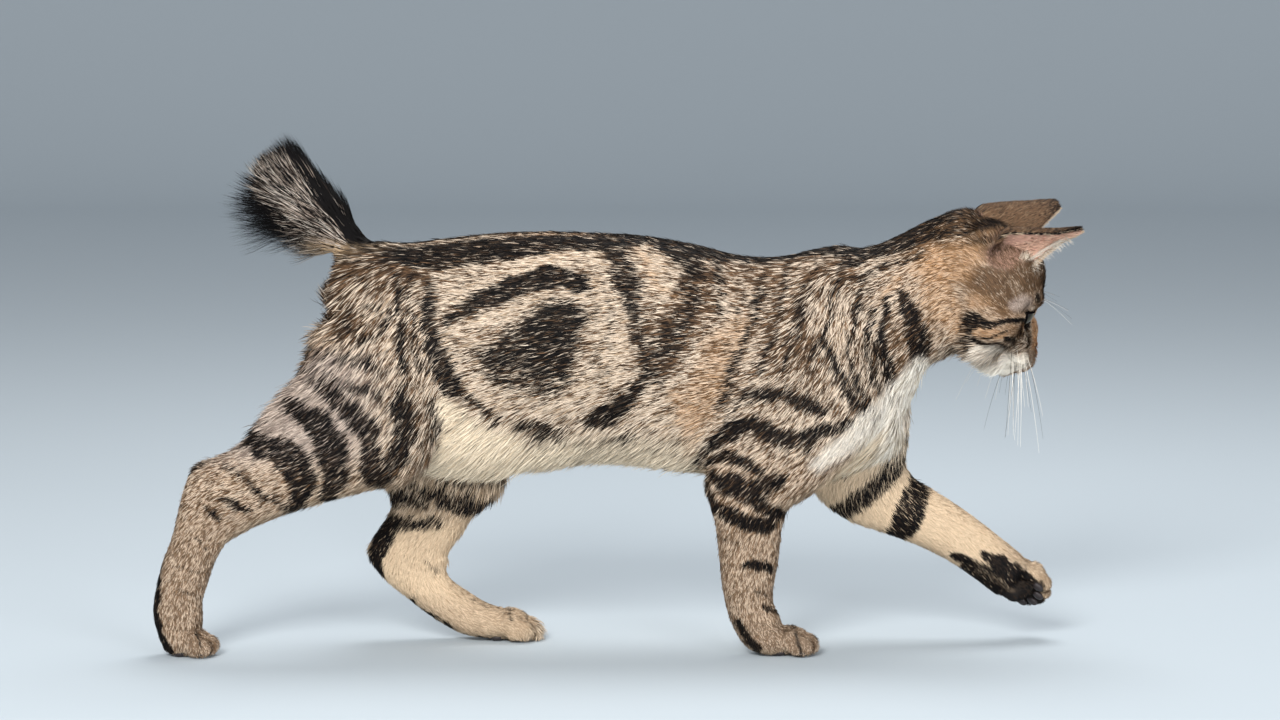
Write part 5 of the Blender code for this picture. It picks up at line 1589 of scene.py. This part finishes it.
def whiskers(rng):
    co, faces, col = [], [], []

    def grow(root, way, length, bow, r0, colour):
        pts = [root + way * length * s + bow * length * s * s for s in np.linspace(0, 1, 12)]
        c, f = strand(pts, r0, 0.00005)
        k = len(co)
        co.extend(c)
        faces.extend([tuple(k + x for x in t) for t in f])
        col.extend([colour] * len(c))

    down = np.array([0, 0, -1.0])
    for side in (1, -1):
        for row in range(4):
            for i in range(4 if row in (1, 2) else 3):
                f, l, u = 44.0 - 4.2 * i - row * 0.4, 9.5 + 2.3 * i, -19.5 - 2.6 * row
                out = unit(FORWARD * (0.62 - 0.10 * i) + LEFT * side * (0.55 + 0.10 * i) - UP * (0.26 + 0.14 * row) + (rng.rand(3) - 0.5) * 0.34)
                root = head(f, l * side, u) + out * 0.0005
                grow(root, out, 0.034 + 0.022 * rng.rand(), down * 0.30 - LEFT * side * 0.10, 0.00014, WHITE if rng.rand() < 0.8 else DARK)
        for i in range(4):
            out = unit(FORWARD * 0.75 + UP * (0.55 - 0.1 * i) + LEFT * side * (0.12 + 0.15 * i) + (rng.rand(3) - 0.5) * 0.2)
            grow(head(17.5, (13 + 1.6 * i) * side, 10.0), out, 0.017 + 0.010 * rng.rand(), down * 0.12, 0.00006, WHITE * 0.7 if i % 2 else DARK)
    o = raw_mesh("whiskers", np.array(co), np.array(faces), None, np.array(col))
    return o


def pads():
    """The dark pads of the paws, bare skin: four toes and the heel pad of each, seen under the lifted one."""
    bm = bmesh.new()
    for tip, y, floor, tilt, size in PAWS:
        base, fwd, lat, up = paw_frame(tip, y, floor, tilt)
        rest = 0.0021 if floor is not None else 0.0
        for l, back in ((-11.2, 14.5), (-4.2, 10.0), (4.2, 9.6), (11.2, 14.0)):
            ball(bm, base + (-(back - 1.5) * fwd + l * lat + 1.3 * up) * size / 1000 + np.array([0, 0, rest]), (4.0, 2.9, 2.1), (fwd, lat, up), 3)
        for l, back, r in ((0, 24, 5.6), (-4.6, 27, 4.4), (4.6, 27, 4.4)):
            ball(bm, base + (-back * fwd + l * lat + 0.6 * up) * size / 1000 + np.array([0, 0, rest]), (r, r * 0.95, 2.6), (fwd, lat, up), 3)
    me = finish_mesh(bm, "pads")
    co = coordinates(me)
    co[:, 2] = np.maximum(co[:, 2], 0.0002)
    me.vertices.foreach_set("co", co.astype(np.float32).ravel())
    me.update()
    o = put("pads", me)
    tinted(me, np.tile(linear((40, 33, 33)), (len(co), 1)))
    me.polygons.foreach_set("use_smooth", np.ones(len(me.polygons), bool))
    return o


# ---------------------------------------------------------------- the coat
def coat(skin, rng):
    me = skin.data
    me.calc_loop_triangles()
    co, normals = coordinates(me), vertex_normals(me)
    weight, along = membership(co)
    length, depth = coat_at(co, weight, along)
    way = lie(co, normals, weight)
    # the skin's own colour: the coat's mean, darker where hair shades it
    m = markings(co, normals, weight, along)
    f, l, u = local(co)
    skin_colour = ground_mean(m) * (0.62 + 0.22 * np.clip(m["white"] + 0.6 * m["pale"], 0, 1))[:, None]
    tail = m["tail"]
    skin_colour = mix(skin_colour, DARK * 1.2, tail * 0.7)
    # painted shade: the skin goes black within a few millimetres of the floor, under the paws
    skin_colour = mix(skin_colour, BLACK * 1.5, step(0.004 - co[:, 2], 0, 0.003))
    cup = in_ear(co)
    skin_colour = mix(skin_colour, (PINK * 0.28 + BEIGE * 0.08) * (0.7 + 0.5 * NOISE_B(co, 0.004))[:, None], cup)
    tinted(me, skin_colour)

    tri, loops, uv = triangle_data(me)
    edges = np.empty(len(me.edges) * 2, np.int32)
    me.edges.foreach_get("vertices", edges)
    edges = edges.reshape(-1, 2)
    degree = np.bincount(edges.ravel(), minlength=len(co))[:, None]
    for _ in range(24):
        spread = np.stack([np.bincount(edges[:, 0], way[edges[:, 1], k], len(co)) + np.bincount(edges[:, 1], way[edges[:, 0], k], len(co)) for k in range(3)], 1)
        way = 0.4 * way + 0.6 * spread / np.maximum(degree, 1)
        way -= np.einsum("ij,ij->i", way, normals)[:, None] * normals
    way = unit(way)
    # density per square metre
    short = np.clip(1 - length / 0.012, 0, 1)
    density = 1.24e6 * (1 + 1.1 * short)
    face = step(f, 0, 30) * weight[:, -1]
    density *= (1 + 1.3 * face) * (1 + 0.5 * np.clip(weight[:, -1] * 1.3, 0, 1))
    density *= 1 + 1.5 * tail
    # none on the eyes, the nose leather and the soles, and a little more in the ears
    for side in (1, -1):
        centre, look, out, up = eye_frame(side)
        q = (co - centre) * 1000
        a, b = q @ out, q @ up
        beyond = np.maximum(np.maximum(b - lid_height(a / EYE_LONG, True), -b - lid_height(a / EYE_LONG, False)), np.abs(a) - EYE_LONG)
        density *= np.where((q @ look > 0) & (np.linalg.norm(q, axis=1) < 18), step(beyond, 1.0, 1.9), 1)
    nose = (np.sqrt((l / 4.6) ** 2 + ((u + 16.2) / 3.9) ** 2) < 1.0) & (f > 40)
    density *= np.where(nose, 0, 1)
    density *= 1 + 0.2 * cup
    # nor on the pads of the lifted paw
    base, fwd, lat, up = paw_frame(*PAWS[3][:4])
    q = (co - base) * 1000.0
    ahead, aside, high = q @ fwd, q @ lat, q @ up
    for place, back, long, wide in ((-11.2, 13, 4.6, 3.4), (-4.2, 8.5, 4.6, 3.4), (4.2, 8.1, 4.6, 3.4), (11.2, 12.5, 4.6, 3.4), (0, 25, 6.5, 8.5)):
        density *= np.where((((ahead + back) / long) ** 2 + ((aside - place) / wide) ** 2 < 1) & (high < 4), 0.05, 1)
    length = length * (1 - 0.35 * cup)
    density *= step(co[:, 2], 0.0012, 0.004)
    pick, bary = scatter(co, tri, density, rng)

    def blend(values):
        return np.einsum("ij,ijk->ik", bary, values[tri[pick]]) if values.ndim == 2 else (values[tri[pick]] * bary).sum(axis=1)

    root, nrm, wy = blend(co), unit(blend(normals)), blend(way)
    wy = unit(wy - np.einsum("ij,ij->i", wy, nrm)[:, None] * nrm)
    ln, dp, tl = blend(length), blend(depth), blend(tail)
    ruv = np.einsum("ij,ijk->ik", bary, uv[loops[pick]])
    n = len(root)
    wts = blend(weight)
    alg = blend(along)
    fc = blend(face)
    cp = blend(cup)
    wy, toward, _ = gathered(root, nrm, wy, 0.0065, rng, (0.22 * (1 - 0.7 * fc) * (1 - 0.5 * tl))[:, None], 0.16 - 0.06 * fc + 0.08 * tl)
    ln = ln * (0.70 + 0.60 * rng.rand(n))
    lift = dp * (0.50 + 0.55 * rng.rand(n) ** 0.8)
    stray = rng.rand(n) < 0.03
    lift = np.where(stray, lift * 1.7, lift)
    # the tail's hair stands out in a fan, and lies closer in front
    t_along = alg[:, LIMB_NAMES.index("tail")]
    ahead = step(nrm @ unit(np.array([0.8, 0.0, 0.6])), 0.1, 0.7)
    behind = step(nrm @ unit(np.array([-0.55, 0.0, -0.83])), 0.0, 0.6)
    out_share = np.interp(t_along, [0, 0.2, 0.4, 0.7, 1], [0.25, 0.42, 0.60, 0.66, 0.60]) * (1 - 0.45 * ahead) * (1 + 0.45 * behind)
    out_share *= 1 - 0.45 * behind * (1 - step(t_along, 0.22, 0.42))
    ln = ln * (1 + tl * behind * (0.24 * step(t_along, 0.42, 0.6) - 0.25 * (1 - step(t_along, 0.2, 0.4))))
    lift = lift * (1 - tl) + tl * ln * out_share * (0.75 + 0.35 * rng.rand(n))
    ru, rv = elevation(root)
    edge = np.interp(rv, [240, 270, 320, 370, 400, 420, 440, 460], [345, 335, 326, 318, 290, 262, 228, 205])
    breech = (1 - step(ru - edge, 10, 46)) * (1 - step(rv, 448, 468)) * (1 - tl) * (wts[:, 0] + wts[:, 2] + wts[:, 3])
    lift *= (1 + 0.9 * breech * rng.rand(n)) * (1 - 0.45 * breech * (1 - step(rv, 285, 320)))
    lift *= 1 - 0.55 * step(nrm[:, 2], 0.35, 0.8) * (wts[:, 0] + wts[:, 1]) * (1 - tl)
    seat = stroke_field(ru, rv, [(1.0, [(336, 258, 20), (332, 280, 26), (330, 300, 18)], 8)]) * (1 - tl)
    ln, lift = ln * (1 - 0.35 * seat), lift * (1 - 0.65 * seat)
    hung = wts[:, 0] * step(-nrm[:, 2], 0.05, 0.55) * step(ru, 425, 460) * (1 - step(ru, 705, 740))
    jaw = stroke_field(ru, rv, [(1.0, [(968, 352, 12), (980, 358, 20), (998, 364, 18)], 6)]) * np.clip((wts[:, -1] + wts[:, 1]) * 1.5, 0, 1) * step(-nrm[:, 2], -0.3, 0.2)
    ln = ln * (1 + 0.22 * hung + 0.45 * jaw)
    lift = lift + ln * (0.12 * hung + 0.30 * jaw) * (0.4 + 0.8 * rng.rand(n))
    wy = unit(wy * (1 - 0.45 * (hung + jaw))[:, None] + np.array([0.0, 0.0, -0.45]) * (hung + jaw)[:, None])
    wy = unit(wy - np.einsum("ij,ij->i", wy, nrm)[:, None] * nrm)
    lift = np.minimum(lift, ln * 0.95)
    # markings are taken where the hair shows, not at its root
    seen = root + wy * (ln * 0.62 * np.where(tl > 0.5, 0.0, 1.0))[:, None]
    mk = markings(seen, nrm, wts, alg)
    mk["tail"] = tl
    r, c, t = tuft_colours(mk, rng)
    # tail: beige streaks over black with black ends, black in front and in a patch low at the back, pale under its root
    eu, ev = elevation(root + nrm * (ln * 0.5 * tl)[:, None] + wy * (ln * 0.5 * tl)[:, None])
    noise = NOISE_A(root, 0.006)
    front = step(eu - (286 + (ev - 149) * 0.62), -8, 8)
    patch = stroke_field(eu, ev, [(1.0, [(238, 190, 28), (247, 212, 42), (262, 231, 36)], 12)])
    cover = 0.46 + 0.6 * front + 1.05 * patch + 0.2 * step(210 - ev - 0.4 * (eu - 240), 20, 44) + (noise - 0.5) * 0.6
    k = rng.rand(n)
    black = cover > rng.rand(n)
    tc = np.where(black[:, None], BLACK, np.where((k < 0.34)[:, None], DARK * 1.6, np.where((k < 0.74)[:, None], linear((172, 156, 142)), linear((220, 208, 194)))))
    under = step(ev, 236, 250) * step(eu, 296, 318)
    tc = mix(tc, PEACH * 0.85, under * (rng.rand(n) < 0.7))
    down = np.where((rng.rand(n) < 0.5)[:, None], PINK * 0.48 + BEIGE * 0.20, UMBER * 1.15) * (0.6 + 0.7 * rng.rand(n))[:, None]
    c, r, t = mix(c, down, cp), mix(r, down * 0.5, cp), mix(t, down * 0.9, cp)
    c = mix(c, tc, tl)
    r = mix(r, tc * 0.6, tl)
    t = mix(t, np.where((rng.rand(n) < 0.75)[:, None], BLACK, tc), tl * (1 - 0.8 * under))
    width = np.clip(0.00026 + 0.026 * ln, 0.00030, 0.00075) * (0.75 + 0.5 * rng.rand(n))
    width = np.where(tl > 0.5, 0.00042, width) * (1 - 0.34 * np.maximum(fc, 0.8 * np.clip(wts[:, -1] * 1.3, 0, 1)))
    hang = np.zeros((n, 3))
    hang[:, 2] = -0.10 * ln * (wts[:, 0] * step(-nrm[:, 2], 0.2, 0.8))
    drop = toward + hang
    long_ones = (tl > 0.35) | (ln > 0.0155)
    made = []
    for name, which, spans in (("coat", ~long_ones, 2), ("coat_long", long_ones, 3)):
        i = np.nonzero(which)[0]
        made += blades(name, root[i], nrm[i], wy[i], ln[i], lift[i], width[i], (r[i], c[i], t[i]), ruv[i], rng, curl=0.08, droop=drop[i], spans=spans)
    print("tufts", n, "long", int(long_ones.sum()), "skin triangles", len(tri))
    return made


def area_light(name, place, aim, size, power, colour=(1, 1, 1)):
    data = bpy.data.lights.new(name, "AREA")
    data.shape, data.size, data.energy, data.color = "DISK", size, power, colour
    o = bpy.data.objects.new(name, data)
    bpy.context.scene.collection.objects.link(o)
    o.location = place
    o.rotation_euler = (Vector(aim) - Vector(place)).to_track_quat("-Z", "Y").to_euler()


def studio():
    bm = bmesh.new()
    profile = [(-6.0, 0.0), (4.4, 0.0)]
    for i in range(1, 13):
        w = math.pi / 2 * i / 12
        profile.append((4.4 + 1.2 * math.sin(w), 1.2 * (1 - math.cos(w))))
    profile.append((5.6, 3.5))
    rows = [[bm.verts.new((x, y, z)) for x in (-6.0, 6.0)] for y, z in profile]
    for a, b in zip(rows, rows[1:]):
        bm.faces.new((a[0], a[1], b[1], b[0]))
    floor = put("floor", finish_mesh(bm, "floor"))
    floor.data.polygons.foreach_set("use_smooth", np.ones(len(floor.data.polygons), bool))
    m = bpy.data.materials.new("studio_floor")
    m.use_nodes = True
    m.node_tree.nodes["Principled BSDF"].inputs["Base Color"].default_value = (0.50, 0.56, 0.60, 1)
    m.node_tree.nodes["Principled BSDF"].inputs["Roughness"].default_value = 0.9
    floor.data.materials.append(m)
    world = bpy.data.worlds.new("studio")
    bpy.context.scene.world = world
    world.use_nodes = True
    world.node_tree.nodes["Background"].inputs[0].default_value = (0.92, 0.95, 1.0, 1)
    world.node_tree.nodes["Background"].inputs[1].default_value = 0.50
    area_light("key", (-0.7, -2.6, 1.6), (0, 0, 0.16), 1.1, 84, (1.0, 0.99, 0.97))
    area_light("fill", (1.3, -2.5, 0.45), (0, 0, 0.16), 1.3, 46, (0.98, 0.98, 1.0))
    area_light("top", (0.2, 0.6, 1.9), (0, 0, 0.2), 1.1, 20)
    cam = bpy.data.cameras.new("camera")
    cam.sensor_width = 36.0
    cam.lens = FOCAL * 36.0 / 1280.0
    cam.clip_end = 50
    o = bpy.data.objects.new("camera", cam)
    bpy.context.scene.collection.objects.link(o)
    o.location = (AIM_X, -EYE_DISTANCE, EYE_HEIGHT)
    o.rotation_euler = (Vector((AIM_X, 0, AIM_HEIGHT)) - Vector(o.location)).to_track_quat("-Z", "Y").to_euler()
    bpy.context.scene.camera = o
    bpy.context.scene.view_settings.view_transform = "Standard"


def main():
    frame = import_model()
    rng = np.random.RandomState(20)
    nodes = sorted(frame["nodes"])
    flesh = [x for x in nodes if not x.startswith(("eye", "ear"))]
    skin = skin_mesh()
    unwrap(skin)
    pieces = coat(skin, rng)
    hide = coat_material("skin", 0.75, bump=0.35, scale=700.0, specular=0.2)
    hair = coat_material("hair", 0.62, scale=1500.0, specular=0.10)
    bare = coat_material("bare_skin", 0.5, bump=0.25, scale=1800.0, specular=0.4)
    dress(skin, hide)
    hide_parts(*flesh)
    for o in pieces:
        dress(o, hair)
    for side, name in ((1, "left"), (-1, "right")):
        e = dress(ear_mesh(side), bare)
        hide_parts("ear_" + name)
        eye = eye_mesh(side)
        wet = bpy.data.materials.get("wet_eye") or coat_material("wet_eye", 0.3, scale=3000.0, specular=0.15)
        wet.node_tree.nodes["Principled BSDF"].inputs["Coat Weight"].default_value = 0.16
        wet.node_tree.nodes["Principled BSDF"].inputs["Coat Roughness"].default_value = 0.02
        dress(eye, wet)
        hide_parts("eye_" + name)
        rim = bpy.data.materials.get("lid") or coat_material("lid", 0.9, scale=2500.0, specular=0.0)
        dress(lid_mesh(side), rim)
    for o in ear_hair(rng):
        dress(o, hair)
    nose = dress(nose_mesh(), coat_material("nose_leather", 0.42, bump=0.5, scale=2600.0, specular=0.5))
    dress(whiskers(rng), hair)
    dress(pads(), bare)
    studio()


main()
